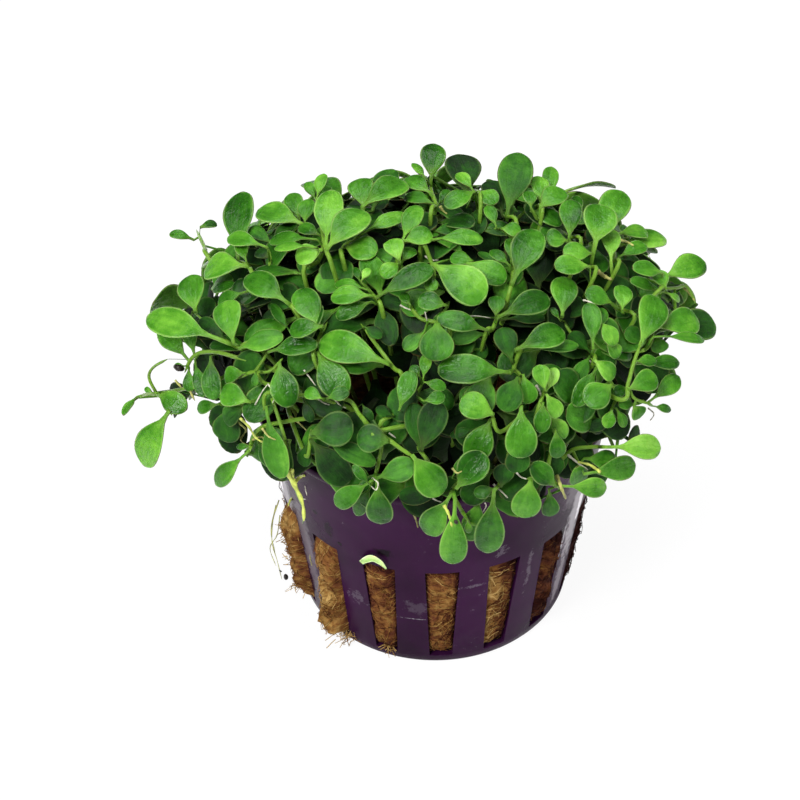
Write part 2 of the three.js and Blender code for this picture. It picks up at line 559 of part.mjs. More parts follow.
// a leaf starts just inside the skin of its stem, or on the middle line where the stem is too thin for that
function leafRoot(leaf, sprig, stems) {
  const on = nearest(leaf.base, sprig.stems);
  const off = sub(leaf.base, on);
  const inset = length(off) > rootInset ? add(on, unit(off), rootInset) : on;
  return leafSolid(leaf, inset, 0).intersect(stems).volume() > 1e-4 ? inset : on;
}

const leastArea = 0.002; // smaller faces aren't looked at
const mostFolded = 0.01;

// area of the faces where the surface passes through itself: the body has to lie once behind each of them
function folded(body) {
  const { vertProperties, triVerts } = body.getMesh();
  const corners = [];
  for (let i = 0; i < triVerts.length; i += 3) {
    corners.push([0, 1, 2].map((k) => {
      const at = triVerts[i + k] * 3;
      return [...vertProperties.slice(at, at + 3)];
    }));
  }
  return corners.reduce((sum, [a, b, c]) => {
    const across = cross(sub(b, a), sub(c, a));
    if (length(across) < leastArea) return sum;
    const behind = add(add(add(a, b), c).map((v) => v / 3), unit(across), -1e-4);
    let seen = 0; // solid angle of the whole surface
    for (const face of corners) {
      const [u, v, w] = face.map((p) => sub(p, behind));
      const [p, q, r] = [length(u), length(v), length(w)];
      const spread = p * q * r + dot(u, v) * r + dot(v, w) * p + dot(w, u) * q;
      seen += 2 * Math.atan2(dot(u, cross(v, w)), spread);
    }
    return Math.abs(seen / (4 * Math.PI) - 1) > 0.5 ? sum + length(across) / 2 : sum;
  }, 0);
}

// turns of the three-sided stems, tried until the sprig is one clean body
const spins = [0.4, 0.9, 1.5, 0.1];
const spinStep = 0.7; // from one stem of a sprig to the next

// a tube for each piece of a line, for bends too sharp for one tube
function joined(line, radius, sides, spin) {
  return Manifold.union(pieces(line).map(([a, b]) => {
    const along = unit(sub(b, a));
    return tube([add(a, along, -radius / 3), add(b, along, radius / 3)], radius, sides, spin);
  }));
}
const stemSolid = (sprig, spin, make = tube) => Manifold.union(sprig.lines.map(
  (line, i) => make(line, stemRadius, 3, spin + spinStep * i)));
const stemSpace = (sprig) => Manifold.union(sprig.lines.map(
  (line, i) => joined(line, (stemRadius + clearGap) * 1.2, 4, spinStep * i)));
const bodies = sprigs.map((sprig) => {
  const stems = stemSolid(sprig, spins[0]);
  const roots = sprig.leaves.map((leaf) => leafRoot(leaf, sprig, stems));
  return {
    stems,
    fatStems: stemSpace(sprig),
    blades: sprig.leaves.map((leaf, i) => leafSolid(leaf, roots[i], 0)),
    fatBlades: sprig.leaves.map((leaf, i) => leafSolid(leaf, roots[i], clearGap)),
  };
});

// the body with vertices closer than a micrometre merged, or null when that pinches or parts its surface
function merged(body) {
  const { vertProperties, triVerts } = body.getMesh();
  const seen = new Map();
  const points = [];
  const place = (i) => {
    const p = [0, 1, 2].map((k) => Math.round(vertProperties[i * 3 + k] * 1e3) / 1e3);
    const key = p.join();
    if (!seen.has(key)) {
      seen.set(key, points.length);
      points.push(p);
    }
    return seen.get(key);
  };
  const faces = [];
  const edges = new Set();
  for (let i = 0; i < triVerts.length; i += 3) {
    const f = [0, 1, 2].map((k) => place(triVerts[i + k]));
    if (f[0] === f[1] || f[1] === f[2] || f[2] === f[0]) continue;
    for (let k = 0; k < 3; k += 1) {
      const edge = `${f[k]} ${f[(k + 1) % 3]}`;
      if (edges.has(edge)) return null;
      edges.add(edge);
    }
    faces.push(f);
  }
  const again = solid(points, faces);
  return again.decompose().length === 1 ? again : null;
}

// the body with its smallest faces merged away, as far as its surface stays whole, or null
const tolerances = [0.16, 0.13, 0.1, 0.07, 0.05, 0.035, 0.022, 0.012, 0.006];
const shifts = [0, 0.0013, -0.0017]; // moves by less than a hair, for another rounding
function tidied(body) {
  let best = { area: Infinity, whole: null };
  for (const tolerance of tolerances) {
    for (const shift of shifts) {
      const whole = merged(largest(body.simplify(tolerance)).translate([shift, shift * 0.7, -shift]));
      const area = whole === null ? Infinity : folded(whole);
      if (area < best.area) best = { area, whole };
      if (area < mostFolded) return best;
    }
  }
  return best;
}

const group = new THREE.Group();
group.name = 'potted_glossostigma';
const materials = {
  pot: new THREE.MeshStandardMaterial({ color: 0x4a2f4c, roughness: 0.35 }),
  wool: new THREE.MeshStandardMaterial({ color: 0x8a6a3c, roughness: 0.95 }),
  leaf: new THREE.MeshStandardMaterial({ color: 0x5d9a2c, roughness: 0.45 }),
};

function addNode(name, body, material) {
  const data = body.getMesh();
  const geometry = new THREE.BufferGeometry();
  const places = new Float32Array(data.vertProperties);
  geometry.setAttribute('position', new THREE.BufferAttribute(places, data.numProp));
  geometry.setIndex([...data.triVerts]);
  const welded = mergeVertices(geometry, 1e-4);
  welded.computeVertexNormals();
  const mesh = new THREE.Mesh(welded, material);
  mesh.name = name;
  group.add(mesh);
}

// net pot: turned body less its slots
function lathe(profile, segments) {
  const points = profile.map(([r, z]) => new THREE.Vector2(r, z));
  const geometry = new THREE.LatheGeometry(points, segments);
  geometry.rotateX(Math.PI / 2);
  geometry.deleteAttribute('normal');
  geometry.deleteAttribute('uv');
  const welded = mergeVertices(geometry, 1e-4);
  const position = welded.getAttribute('position');
  const faces = [];
  for (let i = 0; i < welded.index.count; i += 3) {
    const f = [0, 1, 2].map((k) => welded.index.getX(i + k));
    if (f[0] !== f[1] && f[1] !== f[2] && f[2] !== f[0]) faces.push(f);
  }
  const list = [];
  for (let i = 0; i < position.count; i += 1) {
    list.push([position.getX(i), position.getY(i), position.getZ(i)]);
  }
  let body = solid(list, faces);
  if (body.volume() < 0) body = solid(list, faces.map(([a, b, c]) => [a, c, b]));
  return body;
}

// upright bar facing outwards in a slot: half widths and radii at its foot and its top
function slotBar(turn, foot, top, halfFoot, halfTop, inner, outerFoot, outerTop) {
  const angle = THREE.MathUtils.degToRad(turn);
  const out = [Math.sin(angle), -Math.cos(angle)];
  const side = [Math.cos(angle), Math.sin(angle)];
  const points = [];
  for (const [z, half, outer] of [[foot, halfFoot, outerFoot], [top, halfTop, outerTop]]) {
    for (const r of [inner, outer]) {
      for (const s of [-half, half]) points.push([out[0] * r + side[0] * s, out[1] * r + side[1] * s, z]);
    }
  }
  return Manifold.hull(points);
}

const outerAt = (z) => potBaseRadius + potTaper * z;
const innerAt = (z) => outerAt(z) - potWall;
const rimFoot = potHeight - lipHeight;
const potSides = 48;
let pot = lathe([[0, 0], [potBaseRadius, 0], [outerAt(rimFoot), rimFoot],
  [outerAt(rimFoot) + lipReach, rimFoot + lipSlope], [outerAt(potHeight) + lipReach, potHeight],
  [innerAt(potHeight), potHeight], [innerAt(potFloor), potFloor], [0, potFloor]], potSides);
const slotAngles = [...Array(slotCount).keys()].map((k) => slotTurn + k * 360 / slotCount);
pot = pot.subtract(Manifold.union(slotAngles.map((turn) => slotBar(turn, slotFoot, slotTop, slotHalfFoot,
  slotHalfTop, potBaseRadius - 3, potBaseRadius + 6, potBaseRadius + 6))));
const drainTurn = slotTurn + 180 / slotCount;
const drains = [...Array(drainCount).keys()].map((k) => slotBar(drainTurn + k * 360 / drainCount, -1,
  potFloor + 1, drainHalfWidth, drainHalfWidth, drainInner, drainOuter, drainOuter));
pot = pot.subtract(Manifold.union(drains));
addNode('pot', pot, materials.pot);

// wool plug with a rib in each slot
const edgeFoot = woolTop - woolEdge[1];
let wool = lathe([[0, potFloor + woolGap], [innerAt(potFloor) - woolGap, potFloor + woolGap],
  [innerAt(edgeFoot) - woolGap, edgeFoot], [innerAt(woolTop) - woolGap - woolEdge[0], woolTop],
  [0, woolTop]], woolSides);
const ribs = slotAngles.map((turn, k) => {
  const bulge = woolBulge.find(([slot]) => (slot + slotCount) % slotCount === k);
  const reach = bulge ? bulge[1] : woolRibReach;
  return slotBar(turn, slotFoot + woolGap, slotTop - woolGap, slotHalfFoot - woolGap, slotHalfTop - woolGap,
    potBaseRadius - 5, outerAt(slotFoot) + reach, outerAt(slotTop) + reach);
});
wool = Manifold.union([wool, ...ribs]);
addNode('wool', wool, materials.wool);

// sprigs, each kept clear of the stems of all the others and of the blades before it
const outerRoom = (z) => outerAt(z) + clearGap;
const innerRoom = (z) => innerAt(z) - clearGap;
const roomTop = potHeight + clearGap;
const potRoom = lathe([[0, potFloor + 1], [outerRoom(2), 2], [outerRoom(rimFoot), rimFoot - clearGap],
  [outerRoom(potHeight) + lipReach, rimFoot - clearGap / 3], [outerRoom(potHeight) + lipReach, roomTop],
  [innerRoom(potHeight), roomTop], [innerRoom(woolTop), woolTop + clearGap], [0, woolTop + clearGap],
], potSides);
const clear = (body, others) => others.reduce(
  (cut, [real, fat]) => (meets(cut, real) ? cut.subtract(fat) : cut), body);
const allStems = [[potRoom, potRoom]];
for (const body of bodies) allStems.push([clear(body.stems, allStems), body.fatStems]);
const doneBlades = [];
bodies.forEach((body, i) => {
  const others = allStems.filter((pair, k) => k !== i + 1);
  const blades = body.blades.map((blade) => clear(clear(blade, others), doneBlades));
  let best = tidied(Manifold.union([allStems[i + 1][0], ...blades]));
  for (const spin of spins) {
    if (best.area < mostFolded) break;
    const stems = clear(clear(stemSolid(sprigs[i], spin, joined), others), doneBlades);
    const next = tidied(Manifold.union([stems, ...blades]));
    if (next.area < best.area) {
      best = next;
      allStems[i + 1][0] = stems;
    }
  }
  doneBlades.push(...blades.map((blade, k) => [blade, body.fatBlades[k]]));
  addNode(`sprig_${String(i + 1).padStart(2, '0')}`, best.whole, materials.leaf);
});

// torn leaf arched over the head of a slot, clinging to the pot: points along it, half its height there
const tornLeaf = [[[-10.45, -20.74, 22.0], 0.55], [[-8.9, -21.72, 23.9], 0.8], [[-7.9, -22.05, 23.4], 0.7],
  [[-7.1, -22.16, 22.2], 0.15]];
const tornHalfThick = 0.2;
const tornEnd = ([[x, y, z], half]) => {
  const out = unit([x, y, 0]);
  return [-half, half].flatMap((rise) => [-1, 1].map(
    (side) => add([x, y, z + rise], out, side * tornHalfThick)));
};
const torn = tornLeaf.slice(1).map((end, i) => Manifold.hull([...tornEnd(tornLeaf[i]), ...tornEnd(end)]));
addNode('torn_leaf', Manifold.union(torn), materials.leaf);

export default group;
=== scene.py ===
# Potted Glossostigma: detailed pot, mineral wool plug, sprigs and studio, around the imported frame.
# Metres, +Z up, the pot stands on z = 0 with its axis on the origin.

import json
import math
import random

import bpy
import numpy as np
from mathutils import Matrix, Vector, noise
from mathutils.bvhtree import BVHTree

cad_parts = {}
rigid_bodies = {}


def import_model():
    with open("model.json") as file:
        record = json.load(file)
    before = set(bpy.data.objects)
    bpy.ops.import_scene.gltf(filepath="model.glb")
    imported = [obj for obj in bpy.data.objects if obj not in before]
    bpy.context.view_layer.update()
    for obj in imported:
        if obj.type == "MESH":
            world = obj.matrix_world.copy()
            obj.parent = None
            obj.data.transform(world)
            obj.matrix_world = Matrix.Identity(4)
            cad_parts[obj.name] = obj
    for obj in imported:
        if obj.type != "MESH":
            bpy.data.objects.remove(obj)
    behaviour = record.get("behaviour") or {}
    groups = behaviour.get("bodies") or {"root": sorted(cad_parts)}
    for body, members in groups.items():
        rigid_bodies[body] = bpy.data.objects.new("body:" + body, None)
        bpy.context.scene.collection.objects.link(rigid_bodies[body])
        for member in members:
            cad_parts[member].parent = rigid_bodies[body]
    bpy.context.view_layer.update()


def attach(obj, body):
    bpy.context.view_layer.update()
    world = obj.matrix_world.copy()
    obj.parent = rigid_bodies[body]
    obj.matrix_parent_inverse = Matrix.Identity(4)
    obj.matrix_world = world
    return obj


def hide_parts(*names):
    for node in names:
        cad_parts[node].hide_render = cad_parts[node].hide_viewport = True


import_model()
scene = bpy.context.scene

# the view of the photo, and the picture 800 units wide that the front sprigs are laid out in
view = {
    "focal": 1800, "distance": 0.26209, "elevation": math.radians(41.66), "right": -0.00488, "up": 0.00972,
    "roll": math.radians(0.84), "centre": 400, "aim": 0.020,
}
viewBack = np.array([0, -math.cos(view["elevation"]), math.sin(view["elevation"])])
viewRight = np.array([1.0, 0, 0])
viewUp = np.array([0, math.sin(view["elevation"]), math.cos(view["elevation"])])
eye = (viewBack * view["distance"] + viewRight * view["right"] + viewUp * view["up"]
       + np.array([0, 0, view["aim"]]))

# net pot, as its solid has it
pot = {
    "baseRadius": 0.020, "height": 0.0385, "taper": 0.126, "wall": 0.001, "floor": 0.0014,
    "lipReach": 0.0009, "lipHeight": 0.0015, "slots": 16, "slotTurn": 1.35, "slotFoot": 0.00172,
    "slotTop": 0.02159, "slotHalfFoot": 0.00162, "slotHalfTop": 0.00235, "drains": 8, "drainInner": 0.008,
    "drainOuter": 0.0155, "drainHalf": 0.0011,
}


def outerAt(z):
    return pot["baseRadius"] + pot["taper"] * z


def innerAt(z):
    return outerAt(z) - pot["wall"]


# mat of leaves: an ellipsoid the sprigs are laid over
leafMat = {
    "height": 0.040, "halfWidth": 0.041, "halfDepth": 0.032, "rise": 0.026, "fall": 0.012,
    "skirt": 0.0285, "skirtFoot": 0.014, "backShare": 0.8, "skirtShare": 0.95, "woolTop": 0.0335,
}

# front sprigs: stems as sight points, leaves as [base x, base y, tip x, tip y, width, layer, tone]
# layers: 0 deep, 1 middle, 2 top of the mat; tone, where given, from -1 dark to 1 bright
frontSprigs = [
    {"stems": [[[216, 268], [205, 248], [197, 231]]],
     "leaves": [[194, 240, 169.5, 233.5, 10, 2], [200, 227.5, 217, 224, 9, 2]]},
    {"stems": [[[262, 290], [249, 267], [239, 262]], [[262, 290], [270, 262], [268, 249]]],
     "leaves": [[247, 266, 204, 270, 30, 2, 1], [247, 263, 239, 241, 14, 2, 0.7],
                [238, 262, 242, 191, 32, 1], [250, 284, 212, 290, 12, 0, 0], [246, 292, 218, 304, 14, 1],
                [268, 248, 227, 237, 17, 2, 0.8], [270, 258, 256, 252, 13, 0, -0.7]]},
    {"stems": [[[262, 350], [234, 346], [196, 314]]],
     "leaves": [[196, 312, 191, 275, 29, 1], [228, 343, 147, 316, 33, 2, 1], [234, 344, 226, 300, 30, 2],
                [230, 344, 200, 320, 18, 0, -0.7], [239, 349, 283, 336, 22, 2, -0.5]]},
    {"stems": [[[232, 356], [205, 352], [192, 358], [187, 368]]],
     "leaves": [[186, 366, 174, 367, 7, 1], [189, 368, 190, 392, 12, 1], [195, 360, 204, 397, 14, 1],
                [211, 356, 214, 400, 21, 1, -0.3], [190, 362, 160, 324, 24, 0],
                [195, 357, 190, 322, 18, 0]]},
    {"stems": [[[206, 384], [183, 389], [157, 394]], [[157, 394], [166, 402], [170, 411]],
               [[157, 394], [150, 381], [149.5, 373], [155, 366], [165, 360.5]],
               [[157, 394], [147, 394], [138, 397]]],
     "leaves": [[158, 394, 186, 409, 23, 2], [170, 410, 142, 466, 31, 2], [138, 397, 123, 415, 9, 2],
                [153, 393, 145, 388, 6, 2]]},
    {"stems": [[[266, 384], [255, 372], [242, 377]], [[255, 372], [262, 362], [268, 352]],
               [[255, 372], [270, 371], [279, 362]]],
     "leaves": [[256, 371, 255, 386, 8, 2, -0.6], [268, 352, 317, 344, 21, 2],
                [246, 373, 224, 377, 18, 1], [279, 362, 289, 407, 29, 2]]},
    {"stems": [[[262, 398], [250, 403], [236, 405], [221, 404]]],
     "leaves": [[250, 402, 221, 393, 25, 2], [219, 404, 197, 409, 14, 1], [246, 406, 224, 421, 22, 1, -1],
                [232, 405, 226, 442, 30, 0, -1]]},
    {"stems": [[[272, 424], [255, 436], [249, 451]]],
     "leaves": [[249, 451, 215, 485, 20, 2], [252, 446, 237, 447, 7, 1],
                [256, 437, 272, 468, 13, 1, -0.5]]},
    {"stems": [[[274, 392], [266, 406]],
               [[272, 398], [285, 440], [289, 470], [297, 492], [304, 510], [303, 521]]],
     "leaves": [[266, 406, 282, 479, 27, 2, -0.4], [290, 440, 281, 479, 24, 1, -0.9],
                [303, 398, 312, 422, 12, 0, -0.7]]},
    {"stems": [[[318, 368], [318, 342], [325, 327]], [[318, 342], [296, 338]]],
     "leaves": [[324, 326, 290, 332, 20, 2], [322, 330, 299, 290, 29, 1],
                [294, 338, 271, 303, 11, 1, -0.3], [317, 352, 344, 397, 33, 1]]},
    {"stems": [[[302, 322], [289, 305]]],
     "leaves": [[289, 304, 246, 275, 29, 2], [292, 308, 262, 320, 12, 0, -1.1]]},
    {"stems": [[[306, 284], [318, 262], [323, 248], [322, 236]], [[322, 236], [303, 226]]],
     "leaves": [[323, 250, 296, 260, 23, 2, 0.5], [318, 248, 275, 249, 12, 2],
                [321, 236, 299, 227, 14, 1], [318, 240, 269, 241, 15, 1],
                [302, 224, 258, 210, 28, 1, 0.7], [300, 222, 290, 193, 20, 0, 0.5],
                [305, 224, 308, 199, 19, 1], [274, 246, 250, 228, 15, 0, -0.7]]},
    {"stems": [[[334, 272], [326, 250], [317, 202]]],
     "leaves": [[326, 250, 332, 189, 30, 2, 1], [327, 249, 366, 212, 34, 2, 0.6],
                [316, 200, 306, 182, 11, 1], [317, 199, 324, 174, 13, 1, 1],
                [319, 208, 327, 186, 18, 0]]},
    {"stems": [[[346, 272], [343, 248], [358, 236], [362, 207]]],
     "leaves": [[344, 247, 377, 253, 28, 1], [359, 236, 408, 214, 17, 1], [364, 208, 360, 178, 27, 1],
                [362, 207, 405, 182, 30, 2], [372, 212, 393, 169, 26, 0, -0.7]]},
    {"stems": [[[384, 318], [375, 298], [362, 283]]],
     "leaves": [[373, 296, 331, 298, 21, 2], [368, 290, 335, 284, 14, 1], [372, 302, 336, 317, 18, 1],
                [360, 282, 355, 268, 8, 2], [361, 282, 370, 269, 9, 2, 1], [376, 298, 433, 268, 24, 2],
                [344, 300, 334, 259, 36, 0, -0.7], [378, 302, 392, 346, 24, 0, -1]]},
    {"stems": [[[404, 382], [392, 366], [364, 328]]],
     "leaves": [[389, 364, 319, 340, 36, 1], [364, 327, 382, 337, 13, 1, -1]]},
    {"stems": [[[370, 428], [359, 414], [348, 400], [325, 399]]],
     "leaves": [[323, 399, 305, 391, 14, 2], [327, 399, 349, 391, 15, 2],
                [362, 404, 372, 421, 10, 0, -0.7]]},
    {"stems": [[[306, 456], [310, 434]]],
     "leaves": [[310, 433, 353, 427, 36, 2, -0.7], [314, 436, 376, 464, 20, 1, -1],
                [311, 440, 348, 484, 32, 1, -1], [309, 442, 303, 466, 16, 0, -1.3]]},
    {"stems": [[[384, 436], [381, 452], [375, 477]]],
     "leaves": [[373, 480, 335, 505, 22, 2], [371, 486, 353, 465, 10, 2],
                [366, 484, 338, 490, 11, 0, -1.1], [377, 478, 415, 464, 26, 2, -0.6],
                [377, 480, 381, 524, 28, 2], [373, 482, 356, 516, 16, 1]]},
    {"stems": [[[374, 432], [389, 440], [400, 448], [412, 456]]],
     "leaves": [[389, 441, 357, 436, 30, 2, -0.6], [412, 455, 441, 495, 34, 2]]},
    {"stems": [[[468, 474], [453, 489], [459, 506], [468, 520]]],
     "leaves": [[450, 496, 426, 534, 28, 2], [455, 499, 452, 565, 29, 2], [456, 489, 484, 453, 32, 2],
                [467, 519, 469, 533, 8, 2], [448, 493, 399, 496, 20, 1, -1.4],
                [452, 478, 462, 458, 8, 1, -0.4]]},
    {"stems": [[[504, 474], [496, 489]]],
     "leaves": [[494, 490, 487, 553, 31, 2], [495, 488, 474, 494, 14, 1],
                [501, 487, 505, 464, 22, 1, -1]]},
    {"stems": [[[520, 352], [514, 368], [521, 378], [521, 404]], [[517, 358], [515, 350]]],
     "leaves": [[511, 373, 438, 369, 31, 2], [512, 362, 501, 328, 24, 1, -1], [523, 374, 528, 404, 22, 2],
                [518, 377, 503, 411, 28, 2, -1], [521, 405, 520, 458, 33, 2],
                [520, 440, 516, 473, 26, 1, -1.2], [515, 350, 564, 331, 28, 2],
                [522, 352, 578, 346, 13, 1]]},
    {"stems": [[[383, 430], [399, 412], [412, 402], [422, 384]]],
     "leaves": [[423, 380, 427, 354, 13, 2], [424, 382, 446, 388, 12, 2], [424, 401, 445, 396, 14, 2],
                [420, 376, 411, 366, 11, 1], [399, 411, 412, 371, 20, 2],
                [394, 417, 376, 408, 12, 0, -1.4]]},
    {"stems": [[[428, 462], [420, 451]]],
     "leaves": [[420, 451, 413, 403, 24, 1, -1], [421, 451, 439, 402, 30, 1, -1]]},
    {"stems": [[[500, 432], [493, 415]]],
     "leaves": [[494, 415, 460, 401, 29, 2], [491, 419, 470, 462, 30, 1],
                [478, 428, 450, 436, 10, 0, -0.7]]},
    {"stems": [[[536, 416], [544, 392]], [[540, 404], [549, 414], [555, 430]]],
     "leaves": [[545, 391, 538, 365, 19, 2, 0.5], [546, 392, 556, 368, 14, 1, 1],
                [546, 394, 559, 417, 18, 2, 1], [543, 402, 541, 433, 18, 2], [549, 414, 566, 438, 17, 1],
                [555, 430, 558, 458, 18, 1]]},
    {"stems": [[[624, 404], [613, 386], [594, 362]], [[618, 394], [611, 411]]],
     "leaves": [[612, 385, 586, 404, 29, 2], [597, 367, 575, 406, 20, 1],
                [602, 388, 566, 420, 30, 0, -0.7], [594, 360, 614, 378, 19, 2, 1],
                [612, 409, 606, 428, 15, 2], [618, 420, 585, 428, 14, 0, -1],
                [616, 408, 625, 427, 11, 1]]},
    {"stems": [[[622, 400], [628, 384], [634, 362], [640, 346]], [[628, 384], [634, 398], [648, 403]]],
     "leaves": [[640, 346, 657, 295, 33, 2], [634, 362, 656, 361, 13, 2], [636, 364, 679, 363, 16, 1],
                [627, 390, 656, 377, 24, 2], [627, 388, 613, 394, 13, 1], [650, 401, 679, 377, 20, 1],
                [652, 406, 671, 410, 9, 1], [634, 406, 640, 418, 18, 2], [634, 405, 618, 404, 12, 1]]},
    {"stems": [[[590, 368], [593, 350], [600, 326]], [[593, 350], [606, 342]],
               [[593, 350], [576, 340], [562, 318]]],
     "leaves": [[593, 349, 589, 303, 20, 2], [598, 332, 603, 308, 14, 1], [600, 322, 616, 345, 18, 2],
                [606, 342, 619, 357, 16, 1], [590, 352, 569, 334, 17, 0, -1.5],
                [590, 356, 575, 380, 16, 0, -1], [562, 317, 565, 276, 29, 1],
                [560, 320, 551, 308, 7, 1]]},
    {"stems": [[[484, 340], [492, 330], [497, 318]]],
     "leaves": [[498, 317, 549, 299, 26, 2], [496, 316, 497, 296, 18, 1], [489, 331, 437, 318, 22, 2],
                [500, 320, 545, 318, 14, 0, -0.7], [488, 334, 450, 340, 17, 0, -0.7]]},
    {"stems": [[[420, 254], [432, 264], [434, 276]]],
     "leaves": [[432, 264, 484, 300, 38, 2, 0.6], [464, 263, 506, 281, 26, 1],
                [433, 276, 430, 291, 15, 1, 0.8], [474, 262, 450, 258, 16, 1]]},
    {"stems": [[[398, 268], [402, 243]]],
     "leaves": [[402, 243, 419, 205, 21, 2], [403, 242, 432, 234, 21, 2], [400, 261, 391, 240, 21, 2, 1],
                [402, 262, 414, 248, 15, 1], [400, 263, 382, 277, 18, 1]]},
    {"stems": [[[430, 228], [436, 207], [431, 190], [431, 178]]],
     "leaves": [[431, 180, 434.5, 143, 26, 2], [430, 193, 405, 178, 20, 1],
                [435, 205, 404, 196, 14, 1, -0.4], [428, 182, 412, 163.5, 8, 1],
                [437, 207, 449, 190, 9, 2], [432, 240, 483, 240, 18, 2],
                [433, 232, 458, 230, 14, 0, -0.7]]},
    {"stems": [[[480, 218], [475, 191]]],
     "leaves": [[468, 196, 458, 155, 37, 1, -1], [474, 192, 457, 173, 13, 2, 0.4],
                [475, 192, 446, 207, 20, 2], [477, 192, 496, 204, 20, 2],
                [478, 208, 474, 236, 24, 0, -1]]},
    {"stems": [[[516, 240], [505, 218]], [[510, 230], [499, 229]]],
     "leaves": [[507, 216, 519, 152, 36, 1, -0.7], [503, 216, 488, 180, 24, 0, -1],
                [501, 229, 521, 232, 15, 2], [497, 229, 487, 206, 13, 2, 0.6]]},
    {"stems": [[[540, 226], [534, 209]]],
     "leaves": [[546, 206, 552, 166, 17, 1], [541, 205, 538, 176, 20, 1, 1], [540, 208, 564, 190, 24, 2],
                [531, 208, 528, 191, 15, 2, 0.6], [530, 211, 562, 224, 17, 1]]},
    {"stems": [[[578, 256], [569, 240]]],
     "leaves": [[569, 239, 571, 200, 24, 2], [571, 226, 578, 196, 14, 0, 0.2],
                [567, 241, 546, 239, 20, 2, 0.8]]},
    {"stems": [[[590, 286], [591, 266], [592, 253], [595, 244]]],
     "leaves": [[592, 254, 563, 252, 19, 2, 0.2], [590, 267, 554, 267, 22, 2, 0.2],
                [595, 245, 601, 205, 36, 2, 0.7], [596, 240, 623, 192, 32, 1]]},
    {"stems": [[[612, 278], [614, 258], [614, 237]]],
     "leaves": [[614, 235, 648, 232, 16, 2, 0.8], [616, 259, 646, 245, 16, 1],
                [618, 246, 667, 238, 22, 0, 0.5], [611, 262, 608, 228, 22, 2, 0.7]]},
    {"stems": [[[648, 302], [663, 289]], [[663, 289], [676, 288], [687, 287], [694, 300]]],
     "leaves": [[663, 278, 706, 262, 27, 1], [666, 290, 655, 270, 18, 2, 0.7],
                [663, 274, 632, 268, 17, 2], [658, 292, 630, 280, 13, 0, 0],
                [664, 292, 680, 301, 7, 1, 0.8]]},
    {"stems": [[[644, 350], [652, 336]]],
     "leaves": [[655, 328, 699, 320, 30, 1], [660, 330, 717, 325, 33, 0, -0.7],
                [653, 337, 705, 340, 12, 2], [656, 337, 660, 353, 20, 0, 0],
                [644, 342, 624, 332, 18, 0, -0.7]]},
    {"stems": [[[630, 328], [622, 312]]],
     "leaves": [[622, 311, 622, 285, 20, 2], [636, 312, 616, 316, 10, 0, -0.7],
                [612, 304, 585, 292, 20, 1]]},
    {"stems": [[[506, 306], [512, 280], [512, 264]]],
     "leaves": [[512, 284, 536, 230, 34, 2], [511, 262, 510, 238, 14, 1], [510, 266, 490, 251, 12, 1],
                [508, 272, 478, 252, 9, 0, -0.7]]},
    {"stems": [[[450, 334], [437, 323], [420, 318], [411, 307]], [[437, 323], [447, 307]]],
     "leaves": [[437, 323, 436, 361, 36, 2, -0.5], [424, 333, 404, 350, 17, 1, -0.4],
                [447, 306, 418, 300, 20, 2], [411, 306, 401, 293, 11, 1]]},
    {"stems": [[[548, 470], [558, 486]], [[550, 473], [531, 478]]],
     "leaves": [[556, 487, 532, 464, 22, 2], [531, 479, 522, 517, 31, 2],
                [549, 489, 550, 516, 18, 1, -0.4], [554, 480, 556, 456, 18, 0, -1],
                [562, 486, 607, 488, 21, 2]]},
    {"stems": [[[556, 462], [572, 450], [590, 447], [612, 447]], [[572, 450], [584, 474]]],
     "leaves": [[612, 447, 660, 448, 26, 2, 1], [584, 474, 635, 465, 25, 1]]},
]

# sprigs out of that view: [turn from the front, height, leaf length, turn of the whorls, spread of the arms]
backSprigs = [
    [130, 0.034, 0.0076, 10, 9], [155, 0.032, 0.0078, 35, 9], [180, 0.034, 0.0080, 5, 9],
    [205, 0.032, 0.0078, 50, 9], [230, 0.034, 0.0076, 110, 9], [132, 0.046, 0.0072, 40, 10],
    [163, 0.046, 0.0076, 70, 11], [197, 0.045, 0.0074, 45, 11], [226, 0.046, 0.0072, 70, 10],
    [180, 0.052, 0.0070, 0, 34],
]
backArms = [(0, 0), (1, 0.004), (-1, -0.0035)]  # share of the spread, rise
# leaves at the end of each arm; odd ones are turned and raised further, turns in degrees
whorls = {
    "leaves": 3, "armTurn": 40, "oddTurn": 14, "rise": 0.3, "oddRise": 0.16, "lengthStep": 0.11,
    "width": 0.62, "start": 0.0006, "stemDepth": 0.003, "armSink": 0.0004, "upward": 0.35,
}


def unit(v):
    return v / np.linalg.norm(v)


def sightLine(x, y):
    px = (x - view["centre"]) / view["focal"]
    py = (view["centre"] - y) / view["focal"]
    cos, sin = math.cos(view["roll"]), math.sin(view["roll"])
    return unit(viewRight * (px * cos + py * sin) + viewUp * (py * cos - px * sin) - viewBack)


# distance along a sight line to the front of the mat, or to where it passes closest to it
def sightDepth(ray):
    best = None
    for half in (leafMat["rise"], leafMat["fall"]):
        size = np.array([leafMat["halfWidth"], leafMat["halfDepth"], half])
        o = (eye - np.array([0, 0, leafMat["height"]])) / size
        d = ray / size
        a, b, c = d @ d, o @ d, o @ o - 1
        disc = b * b - a * c
        t = (-b - math.sqrt(disc)) / a if disc > 0 else -b / a
        above = eye[2] + ray[2] * t > leafMat["height"]
        if above == (half == leafMat["rise"]) and (best is None or t < best):
            best = t
    a = ray[0] ** 2 + ray[1] ** 2
    b = eye[0] * ray[0] + eye[1] * ray[1]
    disc = b * b - a * (eye[0] ** 2 + eye[1] ** 2 - leafMat["skirt"] ** 2)
    if disc > 0:
        t = (-b - math.sqrt(disc)) / a
        z = eye[2] + ray[2] * t
        if leafMat["skirtFoot"] < z < leafMat["height"] and (best is None or t < best):
            best = t
    return best if best is not None else -(eye - np.array([0, 0, leafMat["height"]])) @ ray


